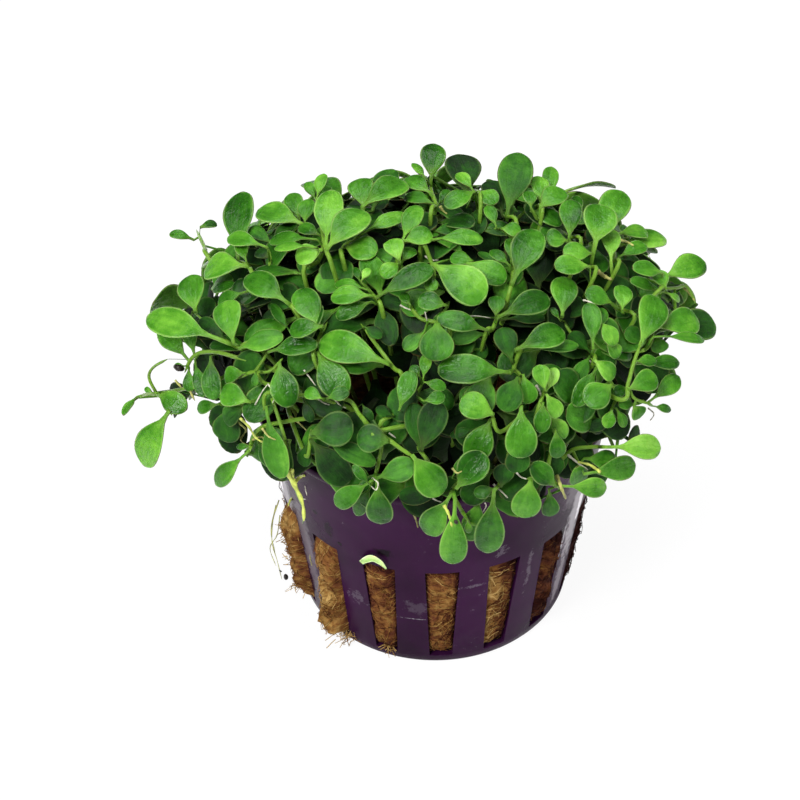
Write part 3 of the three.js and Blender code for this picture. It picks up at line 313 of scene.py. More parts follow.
# place of a point in the picture
def picturePoint(p):
    d = p - eye
    depth = -(d @ viewBack)
    x, y = d @ viewRight / depth, d @ viewUp / depth
    cos, sin = math.cos(view["roll"]), math.sin(view["roll"])
    return (view["centre"] + view["focal"] * (x * cos - y * sin),
            view["centre"] - view["focal"] * (x * sin + y * cos))


def sightPoint(x, y, lift):
    ray = sightLine(x, y)
    return eye + ray * (sightDepth(ray) - lift)


def matNormal(p):
    half = leafMat["rise"] if p[2] > leafMat["height"] else leafMat["fall"] * 2
    return unit(np.array([p[0] / leafMat["halfWidth"] ** 2, p[1] / leafMat["halfDepth"] ** 2,
                          (p[2] - leafMat["height"]) / half ** 2]))


def leafFrame(base, tip, width, outward):
    run = tip - base
    along = unit(run)
    normal = unit(outward - along * (outward @ along))
    return {"base": base, "along": along, "normal": normal, "across": np.cross(normal, along),
            "length": np.linalg.norm(run), "width": width}


# how the listed leaves lie: most lean to or from the eye as a share of the length, and the pulls on the face
leafLie = {"lean": 0.55, "mat": 0.5, "eye": 0.4, "up": 0.3, "leastSeen": 0.25}


def frontLeaf(entry, lift):
    bx, by, tx, ty, width = entry[:5]
    base = sightPoint(bx, by, lift)
    tipRay = sightLine(tx, ty)
    flat = math.hypot(tx - bx, ty - by) * view["distance"] / view["focal"]
    reach = np.linalg.norm(base - eye)
    lean = leafLie["lean"] * flat
    tipReach = min(reach + lean, max(reach - lean, sightDepth(tipRay) - lift))
    facing = matNormal(base) * leafLie["mat"] + viewBack * leafLie["eye"] + np.array([0, 0, leafLie["up"]])
    leaf = leafFrame(base, eye + tipRay * tipReach, 0, facing)
    seen = math.sqrt(max(leafLie["leastSeen"], 1 - (leaf["across"] @ viewBack) ** 2))
    leaf["width"] = width * reach / view["focal"] / seen
    return leaf


bladeArch = 0.08  # rise of the middle of a blade, as a share of its length
bladeCup = 0.16  # rise of its edges, as a share of half its width


# points of a leaf: s along it, h across it in half widths
def leafPoints(leaf, s, h):
    half = leaf["width"] / 2
    arch = bladeArch * leaf["length"] * 4 * s * (1 - s) + bladeCup * half * h * h
    return (leaf["base"] + np.outer(s * leaf["length"], leaf["along"]) + np.outer(h * half, leaf["across"])
            + np.outer(arch, leaf["normal"]))


# points of a blade that are held clear of other blades: s, h
probes = np.array([(0.45, 0), (0.62, 0), (0.8, 0), (0.97, 0), (0.5, 0.7), (0.5, -0.7), (0.68, 0.95),
                   (0.68, -0.95), (0.84, 0.8), (0.84, -0.8), (0.68, 0.5), (0.68, -0.5)])
bladeRoom = 0.00095  # on each face of a blade
bladeSlab = {"middle": 0.66, "halfLength": 0.4, "halfWidth": 1.15}  # shares of the length and half width
potRoom = {"aside": 0.0007, "above": 0.001, "floor": 0.0015}
nearShares = (0.36, 0.2)  # blades farther apart than these shares of their lengths and widths never meet
layerLift = [0, 0.0016, 0.0032]
liftStep = 0.0004
liftMost = 24
settled = []
packed = {}  # the settled leaves again, one array for each value


# which points lie in the slab that a leaf blade needs for itself; leaves and points pair up by row
def insideBlade(points, base, along, across, normal, size, width):
    d = points - base[:, None]
    s = np.einsum("npk,nk->np", d, along) / size[:, None]
    h = np.einsum("npk,nk->np", d, across) / (width[:, None] / 2)
    flat = ((s - bladeSlab["middle"]) / bladeSlab["halfLength"]) ** 2 + (h / bladeSlab["halfWidth"]) ** 2 <= 1
    rise = (np.einsum("npk,nk->np", d, normal) - bladeArch * size[:, None] * 4 * s * (1 - s)
            - bladeCup / 2 * width[:, None] * h * h)
    return flat & (abs(rise) < bladeRoom)


def bladeMiddle(leaf):
    return leafPoints(leaf, np.array([0.65]), np.array([0.0]))[0]


def clashes(leaf):
    mine = leafPoints(leaf, probes[:, 0], probes[:, 1])
    r = np.hypot(mine[:, 0], mine[:, 1])
    rim = outerAt(mine[:, 2]) + pot["lipReach"] + potRoom["aside"]
    byPot = (mine[:, 2] < pot["height"] + potRoom["above"]) & (r < rim)
    if np.any(byPot) or np.any(mine[:, 2] < potRoom["floor"]):
        return True
    if not settled:
        return False
    reach = ((leaf["length"] + packed["length"]) * nearShares[0]
             + (leaf["width"] + packed["width"]) * nearShares[1])
    close = np.linalg.norm(packed["centre"] - bladeMiddle(leaf), axis=1) <= reach
    if not close.any():
        return False
    others = [packed[k][close] for k in ("base", "along", "across", "normal", "length", "width")]
    count = len(others[0])
    if insideBlade(np.broadcast_to(mine, (count, *mine.shape)), *others).any():
        return True
    me = [np.broadcast_to(leaf[k], (count, 3)) for k in ("base", "along", "across", "normal")]
    me += [np.full(count, leaf["length"]), np.full(count, leaf["width"])]
    return bool(insideBlade(packed["points"][close], *me).any())


# leaves are laid from the deep layer up, each lifted until it clears those already there
def settle(make):
    for i in range(liftMost + 1):
        leaf = make(i * liftStep)
        if not clashes(leaf):
            break
    leaf["centre"] = bladeMiddle(leaf)
    leaf["points"] = leafPoints(leaf, probes[:, 0], probes[:, 1])
    settled.append(leaf)
    for key in ("base", "along", "across", "normal", "length", "width", "centre", "points"):
        packed[key] = np.array([other[key] for other in settled])
    return leaf


# stems between the wool and their first leaf: radii from the axis, and heights over the wool or the rim
stemWay = {
    "matRadius": 0.036, "footRadius": 0.0205, "footRise": 0.00035,
    "straightRadius": 0.030, "straightRise": 0.004,
    "overRadius": 0.022, "overSpread": 0.004, "overRise": 0.0022, "overHeight": 0.024,
}
stemRadius = 0.0005


# way of a stem from the wool, over the rim when it has to hang outside the pot; swing turns its foot aside
def rootLine(to, swing):
    r = math.hypot(to[0], to[1])
    turn = math.atan2(to[0], -to[1]) + math.radians(swing)
    out = np.array([math.sin(turn), -math.cos(turn), 0])
    spread = min(1, max(0, r / stemWay["matRadius"]))
    foot = out * stemWay["footRadius"] * spread + np.array([0, 0, leafMat["woolTop"] + stemWay["footRise"]])
    if to[2] > pot["height"] + stemWay["straightRise"] and r < stemWay["straightRadius"]:
        return [foot, to]
    height = max(pot["height"] + stemWay["overRise"], to[2] * 0.5 + stemWay["overHeight"])
    over = out * (stemWay["overRadius"] + stemWay["overSpread"] * spread) + np.array([0, 0, height])
    return [foot, over, to]


def pastEnd(line):
    return [*line[:-1], line[-1] + unit(line[-1] - line[-2]) * stemRadius * 1.4]


def pieces(line):
    return [np.concatenate([a, b]) for a, b in zip(line, line[1:])]


# least distance between the straight pieces in two arrays
def pieceGap(mine, others):
    a, b = mine[:, None, :3], mine[:, None, 3:]
    c, d = others[None, :, :3], others[None, :, 3:]
    u, v, w = b - a, d - c, a - c
    uu, vv, uv = (u * u).sum(-1), (v * v).sum(-1), (u * v).sum(-1)
    uw, vw = (u * w).sum(-1), (v * w).sum(-1)
    across = uu * vv - uv * uv
    first = np.where(across > 1e-21, np.clip((uv * vw - vv * uw) / np.maximum(across, 1e-30), 0, 1), 0)
    t = np.clip((uv * first + vw) / vv, 0, 1)
    s = np.clip((uv * t - uw) / uu, 0, 1)
    return np.linalg.norm(a + u * s[..., None] - c - v * t[..., None], axis=-1).min()


stemLifts = [0.0004, 0.0012, 0.0020, -0.0004, 0.0028, -0.0012, 0.0036]
stemSwings = [0, 6, -6, 12, -12, 18, -18, 25, -25]
stemRoom = 2 * stemRadius + 0.00032
laidPieces = []


# stems are laid one sprig after another, lifted and swung aside until they clear those already there
def layStems(make):
    best = None
    for lift in stemLifts:
        for swing in stemSwings:
            first, *branches = make(lift)
            lines = [pastEnd(line) for line in [[*rootLine(first[0], swing), *first[1:]], *branches]]
            mine = np.array([p for line in lines for p in pieces(line)])
            gap = pieceGap(mine, np.array(laidPieces)) if laidPieces else math.inf
            if best is None or gap > best[0]:
                best = (gap, lines, mine, [first, *branches])
            if gap > stemRoom:
                break
        if best[0] > stemRoom:
            break
    laidPieces.extend(best[2])
    return {"lines": best[1], "stems": best[3], "leaves": []}


def matPoint(turn, z):
    share = leafMat["backShare"] if z > leafMat["height"] else leafMat["skirtShare"]
    half = (leafMat["rise"] if z > leafMat["height"] else leafMat["fall"] * 2) * share
    ring = math.sqrt(max(0, 1 - ((z - leafMat["height"]) / half) ** 2)) * share
    angle = math.radians(turn)
    return np.array([leafMat["halfWidth"] * ring * math.sin(angle),
                     -leafMat["halfDepth"] * ring * math.cos(angle), z])


def layFrontSprigs():
    sprigs = [layStems(lambda lift: [[sightPoint(x, y, lift) for x, y in line] for line in sprig["stems"]])
              for sprig in frontSprigs]
    for layer in range(3):
        for sprig, entries in zip(sprigs, frontSprigs):
            for entry in entries["leaves"]:
                if entry[5] == layer:
                    leaf = settle(lambda lift: frontLeaf(entry, layerLift[layer] + lift))
                    leaf["tone"] = entry[6] if len(entry) > 6 else 0
                    leaf["layer"] = layer
                    sprig["leaves"].append(leaf)
    return sprigs


# a whorl of leaves at the end of each arm of a sprig behind
def layWhorl(sprig, node, n, size, turn):
    outward = unit(matNormal(node) + np.array([0, 0, whorls["upward"]]))
    side = unit(np.cross([0, 0, 1], outward))
    rise = np.cross(outward, side)
    for k in range(whorls["leaves"]):
        odd = k % 2
        a = math.radians(turn + whorls["armTurn"] * n + k * 360 / whorls["leaves"] + odd * whorls["oddTurn"])
        outShare = whorls["rise"] + whorls["oddRise"] * odd
        lean = unit(side * math.cos(a) + rise * math.sin(a) + outward * outShare)
        reach = size * (1 + whorls["lengthStep"] * ((k * 2 + n) % 3))
        start = node + lean * whorls["start"]
        leaf = settle(lambda lift: leafFrame(start + outward * lift, start + outward * lift + lean * reach,
                                             reach * whorls["width"], outward))
        leaf["tone"] = 0
        leaf["layer"] = 2
        sprig["leaves"].append(leaf)


def layBackSprigs():
    sprigs = []
    for turn, height, size, whorlTurn, spread in backSprigs:
        nodes = [matPoint(turn + share * spread, height + rise) for share, rise in backArms]
        inner = nodes[0] - matNormal(nodes[0]) * whorls["stemDepth"]
        sprig = layStems(lambda lift: [[inner, nodes[0]]] + [
            [inner, p + matNormal(p) * (lift - whorls["armSink"])] for p in nodes[1:]])
        for n, node in enumerate(nodes):
            layWhorl(sprig, node, n, size, whorlTurn)
        sprigs.append(sprig)
    return sprigs


sprigs = layFrontSprigs()
frontCount = len(settled)
sprigs += layBackSprigs()
print("sprigs laid:", len(sprigs), "leaves:", len(settled))

laidObjects = []  # names of the pieces that the strays are laid on


# mesh object from points and faces, with point attributes
def meshObject(name, points, faces, material, attributes=None, smooth=True):
    mesh = bpy.data.meshes.new(name)
    mesh.from_pydata([tuple(p) for p in points], [], [tuple(int(i) for i in f) for f in faces])
    mesh.validate()
    for key, values in (attributes or {}).items():
        layer = mesh.attributes.new(key, "FLOAT_VECTOR", "POINT")
        layer.data.foreach_set("vector", np.asarray(values, dtype=np.float32).ravel())
    if smooth:
        mesh.shade_smooth()
    obj = bpy.data.objects.new(name, mesh)
    obj.data.materials.append(material)
    scene.collection.objects.link(obj)
    laidObjects.append(obj.name)
    return obj


# third value of the point attribute "place": its first two are s along a blade and h across it
upperFace, underFace, isStem = 1, -1, 2


# gathers points, faces and point attributes of many small shapes into one mesh; the point attribute "look"
# holds the tone, a seed and the layer
class Bundle:
    def __init__(self):
        self.points, self.faces, self.place, self.look = [], [], [], []
        self.count = 0

    def add(self, points, faces, place, look):
        self.points.append(points)
        self.faces.extend([[i + self.count for i in f] for f in faces])
        self.place.append(place)
        self.look.append(np.broadcast_to(np.array(look, dtype=float), (len(points), 3)))
        self.count += len(points)

    def build(self, name, material):
        return meshObject(name, np.concatenate(self.points), self.faces, material,
                          {"place": np.concatenate(self.place), "look": np.concatenate(self.look)})


def ringFaces(rings, sides):
    faces = []
    for i in range(rings - 1):
        for k in range(sides):
            a, b = i * sides + k, i * sides + (k + 1) % sides
            faces.append((a, b, b + sides, a + sides))
    faces.append(tuple(range(sides))[::-1])
    faces.append(tuple((rings - 1) * sides + k for k in range(sides)))
    return faces


# smooth line through points, with a number of steps for each piece
def smoothLine(points, steps):
    p = [np.asarray(q, dtype=float) for q in points]
    if len(p) < 3:
        return [p[0] + (p[-1] - p[0]) * i / steps for i in range(steps + 1)]
    p = [2 * p[0] - p[1], *p, 2 * p[-1] - p[-2]]
    line = []
    for a, b, c, d in zip(p, p[1:], p[2:], p[3:]):
        for i in range(steps):
            t = i / steps
            line.append(0.5 * (2 * b + (c - a) * t + (2 * a - 5 * b + 4 * c - d) * t ** 2
                               + (3 * b - 3 * c + d - a) * t ** 3))
    return [*line, p[-2]]


# round stem along a line; radii is a number, or a function of the share of the way
def addTube(bundle, line, radii, sides, look):
    points, place = [], []
    side = None
    for i, p in enumerate(line):
        along = unit(line[min(i + 1, len(line) - 1)] - line[max(i - 1, 0)])
        if side is None:
            side = unit(np.cross(along, [0, 0, 1] if abs(along[2]) < 0.9 else [1, 0, 0]))
        side = unit(side - along * (side @ along))
        other = np.cross(along, side)
        share = i / (len(line) - 1)
        radius = radii(share) if callable(radii) else radii
        for k in range(sides):
            a = 2 * math.pi * k / sides
            points.append(p + (side * math.cos(a) + other * math.sin(a)) * radius)
            place.append((share, math.cos(a), isStem))
    bundle.add(np.array(points), ringFaces(len(line), sides), np.array(place), look)


# fine leaf: rings along it, points around it, thickness at the middle
leafShape = {"rings": 15, "around": 14, "thickness": 0.00034}
innerShape = {"rings": 10, "around": 10, "thickness": 0.0003}
bladeForm = {
    "petiole": 0.00022, "petioleShares": (0.0, 0.5), "petioleWidth": 0.10, "swell": 1.15, "tipPacking": 1.5,
    "footThick": 1.5, "tipThinning": 0.75, "edgeRound": 0.8, "faceRound": 0.7, "waveTurn": 7,
    "crease": 0.10, "creaseWidth": 0.12, "creaseEnd": 0.93,
}
# how far single leaves differ, lowest and highest, as shares of the length or half width
leafSpread = {
    "neck": (-0.03, 0.03), "widest": (0.56, 0.68), "blunt": (1.9, 2.5), "wave": (0, 0.05), "phase": (0, 6.3),
    "twist": (-0.16, 0.16), "droop": (-0.02, 0.05), "skew": (-0.05, 0.05),
}


# half width of a spoon-shaped blade at a share of its length, as a share of its widest
def bladeWidth(s, neck, widest, blunt):
    if s > widest:
        return max(0.02, (1 - ((s - widest) / (1 - widest)) ** blunt)) ** 0.5
    rise = max(0, (s - neck) / (widest - neck))
    foot = bladeForm["petioleWidth"]
    return max(0.13 - 0.03 * s, foot + (1 - foot) * math.sin(math.pi / 2 * rise) ** bladeForm["swell"])


# one fine leaf: petiole from its root on the stem, cupped and waved blade with a rounded edge
def addLeaf(bundle, leaf, root, seed, shape=leafShape):
    rng = random.Random(seed)
    own = {key: rng.uniform(*span) for key, span in leafSpread.items()}
    rings, around = shape["rings"], shape["around"]
    neck = min(0.30, max(0.02, 0.10 * (leaf["length"] / leaf["width"] - 0.6) + own["neck"]))
    half, size = leaf["width"] / 2, leaf["length"]
    points, place = [], []
    for k in bladeForm["petioleShares"]:
        centre = root + (leaf["base"] - root) * k
        for j in range(around):
            a = 2 * math.pi * j / around
            rim = leaf["across"] * math.cos(a) + leaf["normal"] * math.sin(a)
            points.append(centre + rim * bladeForm["petiole"])
            place.append((-0.2 + 0.2 * k, math.cos(a) * 0.5, upperFace))
    for i in range(rings):
        s = 1 - (1 - i / (rings - 1)) ** bladeForm["tipPacking"]
        w = bladeWidth(s, neck, own["widest"], own["blunt"])
        thick = shape["thickness"] / 2 * (bladeForm["footThick"] - bladeForm["tipThinning"] * s)
        for j in range(around):
            a = 2 * math.pi * j / around
            h = math.copysign(abs(math.cos(a)) ** bladeForm["edgeRound"], math.cos(a)) * w
            v = h / max(w, 0.05)
            up = math.copysign(abs(math.sin(a)) ** bladeForm["faceRound"], math.sin(a))
            crease = bladeForm["crease"] * half * w * math.exp(-(v / bladeForm["creaseWidth"]) ** 2)
            arch = (bladeArch * size * 4 * s * (1 - s) + bladeCup * half * h * h
                    + own["wave"] * half * math.sin(bladeForm["waveTurn"] * s + own["phase"]) * h * abs(h)
                    + own["twist"] * half * h * s - own["droop"] * size * s * s
                    - crease * (s < bladeForm["creaseEnd"]))
            across = half * (h + own["skew"] * math.sin(math.pi * s) * w)
            points.append(leaf["base"] + leaf["along"] * (s * size) + leaf["across"] * across
                          + leaf["normal"] * (arch + thick * up))
            place.append((s, v, upperFace if math.sin(a) > -0.01 else underFace))
    bundle.add(np.array(points), ringFaces(rings + len(bladeForm["petioleShares"]), around), np.array(place),
               (leaf["tone"], rng.random(), leaf["layer"]))


def nearestOn(p, stems):
    best = stems[0][0]
    for line in stems:
        for a, b in zip(line, line[1:] + [line[-1]]):
            for k in range(6):
                q = a + (b - a) * k / 6
                if np.linalg.norm(p - q) < np.linalg.norm(p - best):
                    best = q
    return best


# small wrapper that adds nodes to a tree and wires values or sockets to their inputs
class Nodes:
    def __init__(self, tree):
        self.tree = tree

    def add(self, kind, **settings):
        node = self.tree.nodes.new("ShaderNode" + kind)
        for key, value in settings.items():
            setattr(node, key, value)
        return node

    def wire(self, value, socket):
        if isinstance(value, bpy.types.NodeSocket):
            self.tree.links.new(value, socket)
        elif value is not None:
            socket.default_value = value

    def math(self, operation, a, b=None, c=None, clamp=False):
        node = self.add("Math", operation=operation, use_clamp=clamp)
        for value, socket in zip((a, b, c), node.inputs):
            self.wire(value, socket)
        return node.outputs[0]

    def mix(self, factor, a, b):
        node = self.add("Mix", data_type="RGBA")
        self.wire(factor, node.inputs[0])
        self.wire(a, node.inputs[6])
        self.wire(b, node.inputs[7])
        return node.outputs[2]

    # 0 below low, 1 above high, smooth between
    def step(self, value, low, high):
        node = self.add("MapRange", interpolation_type="SMOOTHSTEP")
        self.wire(value, node.inputs[0])
        node.inputs[1].default_value, node.inputs[2].default_value = low, high
        return node.outputs[0]

    def noise(self, scale, detail, rough=0.5, vector=None, distortion=0.0):
        node = self.add("TexNoise")
        place = vector if vector is not None else self.add("TexCoord").outputs["Object"]
        self.wire(place, node.inputs["Vector"])
        node.inputs["Scale"].default_value = scale
        node.inputs["Detail"].default_value = detail
        node.inputs["Roughness"].default_value = rough
        node.inputs["Distortion"].default_value = distortion
        return node.outputs[0]

    def ramp(self, value, stops):
        node = self.add("ValToRGB")
        while len(node.color_ramp.elements) < len(stops):
            node.color_ramp.elements.new(0.5)
        for element, (place, color) in zip(node.color_ramp.elements, stops):
            element.position = place
            element.color = (*color, 1)
        self.wire(value, node.inputs[0])
        return node.outputs[0]

    def split(self, vector):
        node = self.add("SeparateXYZ")
        self.wire(vector, node.inputs[0])
        return node.outputs

    # the three values of a point attribute
    def attribute(self, name):
        return self.split(self.add("Attribute", attribute_name=name).outputs["Vector"])

    def objectPlace(self):
        return self.split(self.add("TexCoord").outputs["Object"])

    # 1 where value is 0, and the other way round
    def invert(self, value):
        return self.math("SUBTRACT", 1.0, value)

    # the outputs of a node group by name
    def group(self, tree):
        return {socket.name: socket for socket in self.add("Group", node_tree=tree).outputs}

    def bump(self, height, distance, strength, normal=None):
        node = self.add("Bump")
        node.inputs["Strength"].default_value = strength
        node.inputs["Distance"].default_value = distance
        self.wire(height, node.inputs["Height"])
        self.wire(normal, node.inputs["Normal"])
        return node.outputs[0]


# node group of masks with named outputs; fill gets its nodes and returns a value for each output
def newGroup(name, outputs, fill):
    tree = bpy.data.node_groups.new(name, "ShaderNodeTree")
    for label in outputs:
        tree.interface.new_socket(label, in_out="OUTPUT", socket_type="NodeSocketFloat")
    end = tree.nodes.new("NodeGroupOutput")
    n = Nodes(tree)
    for value, socket in zip(fill(n), end.inputs):
        n.wire(value, socket)
    return tree


def newMaterial(name, base, roughness, specular):
    material = bpy.data.materials.new(name)
    material.use_nodes = True
    tree = material.node_tree
    shader = tree.nodes["Principled BSDF"]
    shader.inputs["Base Color"].default_value = (*base, 1)
    shader.inputs["Roughness"].default_value = roughness
    shader.inputs["Specular IOR Level"].default_value = specular
    return material, Nodes(tree), shader.inputs


# marks of a blade: spans are where a mark starts and where it is full, along the blade or across it
bladeLook = {
    "veinGap": 0.21, "veinWidth": 0.05, "veinEnd": (0.70, 0.95), "footEnd": 0.42, "tipMargin": (5.0, -4.0),
    # rim is a thin painted highlight along the edge of the blade; edge is its brown margin
    "rim": (0.86, 0.93), "edge": (0.955, 0.985), "streakAlong": 1.7, "streakAcross": 1.9, "streakSeed": 90.0,
    # sideLight and tipLight paint shading: one half of the blade, and its tip or its foot, lighter than the
    # rest
    "sideLight": (7.3, 0.5), "tipLight": (13.7, 0.65), "middle": 0.55,
}
leafLook = {
    "shades": [(0.0, (0.0003, 0.003, 0.0003)), (0.22, (0.0022, 0.018, 0.0006)),
               (0.42, (0.010, 0.066, 0.0014)), (0.62, (0.040, 0.160, 0.008)),
               (0.80, (0.105, 0.284, 0.022)), (1.0, (0.23, 0.45, 0.07))],
    # the last value is the strength of the painted shading across and along each blade
    "middle": 0.56, "tone": 0.24, "seed": 0.26, "streak": 0.26, "mottle": 0.46, "blotch": 0.50, "paintedShading": 0.22,
    "mottleNoise": (560, 4, 0.70), "blotchNoise": (120, 2), "grainNoise": (440, 4, 0.65),
    "lively": (0.40, 0.72),  # strength of the marks: share of the tone, and at tone 0
    # marks over the green: mask, most of it, color; the rim mark is a painted highlight along the edge
    "marks": [("vein", 0.05, "pale"), ("foot", 0.42, "pale"), ("rim", 0.42, "rim"),
              ("edge", 0.85, "brownRim"), ("under", 0.50, "under")],
    "brown": (0.72, 0.90), "brownMottle": 0.8,  # which leaves have brown edges
    # the rim colour is that of the painted highlight along the edge of a blade
    "pale": (0.22, 0.36, 0.05), "rim": (0.28, 0.42, 0.12), "brownRim": (0.060, 0.045, 0.012),
    "under": (0.09, 0.19, 0.035), "stem": (0.11, 0.22, 0.02), "root": (0.050, 0.034, 0.011),
    "rootHeight": (0.040, 0.056), "rootRagged": 0.016, "roughness": (0.12, 0.40), "darkDull": -0.34,
    "specular": 0.16, "subsurface": 0.10, "subsurfaceRadius": (0.35, 0.9, 0.10), "subsurfaceScale": 0.0005,
    "veinDip": -0.07, "streakBump": (0.00015, 1.0), "grainBump": (0.0004, 0.9),  # distance, strength
}


# a value that differs from leaf to leaf, spread around 0 by a factor of the seed and a share taken off
def perLeaf(n, seed, factor, less):
    return n.math("SUBTRACT", n.math("FRACT", n.math("MULTIPLY", seed, factor)), less)


# marks that every blade has, from its point attributes, with a painted highlight along its rim and painted
# shading across and along it
def bladeMarks(n):
    s, h, side = n.attribute("place")
    seed = n.attribute("look")[1]
    across = n.math("ABSOLUTE", h)
    vein = n.invert(n.step(n.math("PINGPONG", across, bladeLook["veinGap"]), 0.0, bladeLook["veinWidth"]))
    vein = n.math("MULTIPLY", vein, n.invert(n.step(s, *bladeLook["veinEnd"])))
    foot = n.invert(n.step(s, 0.0, bladeLook["footEnd"]))
    margin = n.math("MAXIMUM", across, n.math("MULTIPLY_ADD", s, *bladeLook["tipMargin"]))
    along = n.add("CombineXYZ")
    n.wire(n.math("MULTIPLY", s, bladeLook["streakAlong"]), along.inputs[0])
    shift = n.math("MULTIPLY", seed, bladeLook["streakSeed"])
    n.wire(n.math("MULTIPLY_ADD", h, bladeLook["streakAcross"], shift), along.inputs[1])
    streak = n.noise(1.0, 3, 0.55, along.outputs[0], 0.6)
    # painted shading: one half lighter than the other, and lighter or darker towards the tip
    half = n.math("MULTIPLY", h, perLeaf(n, seed, *bladeLook["sideLight"]))
    length = n.math("MULTIPLY", n.math("SUBTRACT", s, bladeLook["middle"]),
                    perLeaf(n, seed, *bladeLook["tipLight"]))
    # the third mask is the painted highlight along the rim
    return (vein, foot, n.step(margin, *bladeLook["rim"]), n.step(margin, *bladeLook["edge"]),
            n.math("LESS_THAN", side, 0.0), n.math("GREATER_THAN", side, 1.5), across, streak,
            n.math("ADD", half, length))


bladeGroup = newGroup("blade marks", (
    "vein", "foot", "rim", "edge", "under", "stem", "across", "streak", "paintedShading"), bladeMarks)


def leafMaterial():
    material, n, shader = newMaterial("leaf", (0.05, 0.15, 0.01), 0.4, leafLook["specular"])
    marks = n.group(bladeGroup)
    tone, seed, _ = n.attribute("look")
    mottle = n.noise(*leafLook["mottleNoise"])
    blotch = n.noise(*leafLook["blotchNoise"])
    shade = n.math("MULTIPLY_ADD", tone, leafLook["tone"], leafLook["middle"])
    for key, value in (("seed", seed), ("streak", marks["streak"]), ("mottle", mottle), ("blotch", blotch)):
        shade = n.math("MULTIPLY_ADD", n.math("SUBTRACT", value, 0.5), leafLook[key], shade)
    # painted shading across and along the blade
    shade = n.math("MULTIPLY_ADD", marks["paintedShading"], leafLook["paintedShading"], shade)
    color = n.ramp(shade, leafLook["shades"])
    lively = n.math("MULTIPLY_ADD", tone, *leafLook["lively"], clamp=True)
    brown = n.step(n.math("MULTIPLY_ADD", mottle, leafLook["brownMottle"], seed), *leafLook["brown"])
    for mask, share, tint in leafLook["marks"]:
        strength = n.math("MULTIPLY", brown if mask == "edge" else lively, share)
        factor = n.math("MULTIPLY", marks[mask], strength)
        color = n.mix(factor, color, (*leafLook[tint], 1))
    height = n.math("MULTIPLY_ADD", blotch, leafLook["rootRagged"], n.objectPlace()[2])
    low = n.invert(n.step(height, *leafLook["rootHeight"]))
    stemColor = n.mix(low, (*leafLook["stem"], 1), (*leafLook["root"], 1))
    n.wire(n.mix(marks["stem"], color, stemColor), shader["Base Color"])
    least, mottled = leafLook["roughness"]
    dull = n.math("MULTIPLY", n.math("MINIMUM", tone, 0.0), leafLook["darkDull"])  # dark leaves shine less
    roughness = n.math("ADD", n.math("MULTIPLY_ADD", mottle, mottled, least), dull, clamp=True)
    n.wire(roughness, shader["Roughness"])
    relief = n.math("MULTIPLY_ADD", marks["vein"], leafLook["veinDip"], marks["streak"])
    bump = n.bump(relief, *leafLook["streakBump"])
    grain = n.noise(*leafLook["grainNoise"])
    n.wire(n.bump(grain, *leafLook["grainBump"], bump), shader["Normal"])
    shader["Subsurface Weight"].default_value = leafLook["subsurface"]
    shader["Subsurface Radius"].default_value = leafLook["subsurfaceRadius"]
    shader["Subsurface Scale"].default_value = leafLook["subsurfaceScale"]
    return material


# leaves below the outermost ones: shells of the mat as share of its size, count, leaf length, tone; the tone
# darkens the deeper shells as painted shade
shells = [(0.96, 460, 0.0062, -0.4), (0.92, 560, 0.0070, -1.0), (0.82, 620, 0.0080, -1.6),
          (0.68, 420, 0.0084, -2.1)]
innerLie = {
    "turn": 2.39996, "turnJitter": 0.1, "lowest": -0.5, "behind": 0.86, "lowShare": 1.5, "lean": (-0.1, 0.4),
    "length": (0.7, 1.2), "width": (0.55, 0.72), "clearHeight": 0.0015, "clearRadius": 0.0275,
    "stemReach": 0.012, "facing": 0.6, "facingJitter": 0.3, "upward": 0.3,
}

# places in the view where the background shows between the sprigs: x, y, radius
openPlaces = [(168, 362, 26), (200, 434, 17), (164, 294, 20), (652, 428, 12), (677, 361, 9), (673, 392, 10),
              (478, 166, 16), (332, 182, 16), (576, 190, 12), (661, 260, 14), (228, 205, 14), (213, 252, 14),
              (243, 438, 4), (655, 373, 5), (620, 218, 5)]
openMargin = 8
# front leaves that lie around a point of the view: how near, how many, the widest angle between two
spread = {"reach": 48, "least": 5, "gap": 2.4}
outlinePoints = [picturePoint(leaf["centre"]) for leaf in settled[:frontCount]]


# true when a point, seen in the view, lies well inside the spread of the leaves there
def inOutline(p):
    x, y = picturePoint(p)
    if any(math.hypot(x - gx, y - gy) < reach + openMargin for gx, gy, reach in openPlaces):
        return False
    d = np.array(outlinePoints) - (x, y)
    close = d[np.hypot(*d.T) < spread["reach"]]
    if len(close) < spread["least"]:
        return False
    turns = np.sort(np.arctan2(close[:, 1], close[:, 0]))
    return np.max(np.diff([*turns, turns[0] + 2 * math.pi])) < spread["gap"]


# true when one of the points is low and one is close to the axis, where the pot is
def overPot(*points):
    low = min(p[2] for p in points) < pot["height"] + innerLie["clearHeight"]
    return low and min(math.hypot(*p[:2]) for p in points) < innerLie["clearRadius"]


# point i of a shell of the mat
def shellPoint(i, count, share, turn):
    z = 1 - 2 * (i + 0.5) / count
    flat = math.sqrt(1 - z * z)
    behind = innerLie["behind"] if math.cos(turn) < 0 else 1
    height = leafMat["rise"] if z > 0 else leafMat["fall"] * innerLie["lowShare"]
    p = np.array([leafMat["halfWidth"] * flat * math.sin(turn),
                  -leafMat["halfDepth"] * flat * math.cos(turn) * behind, height * z * behind]) * share
    p[2] += leafMat["height"]
    return p


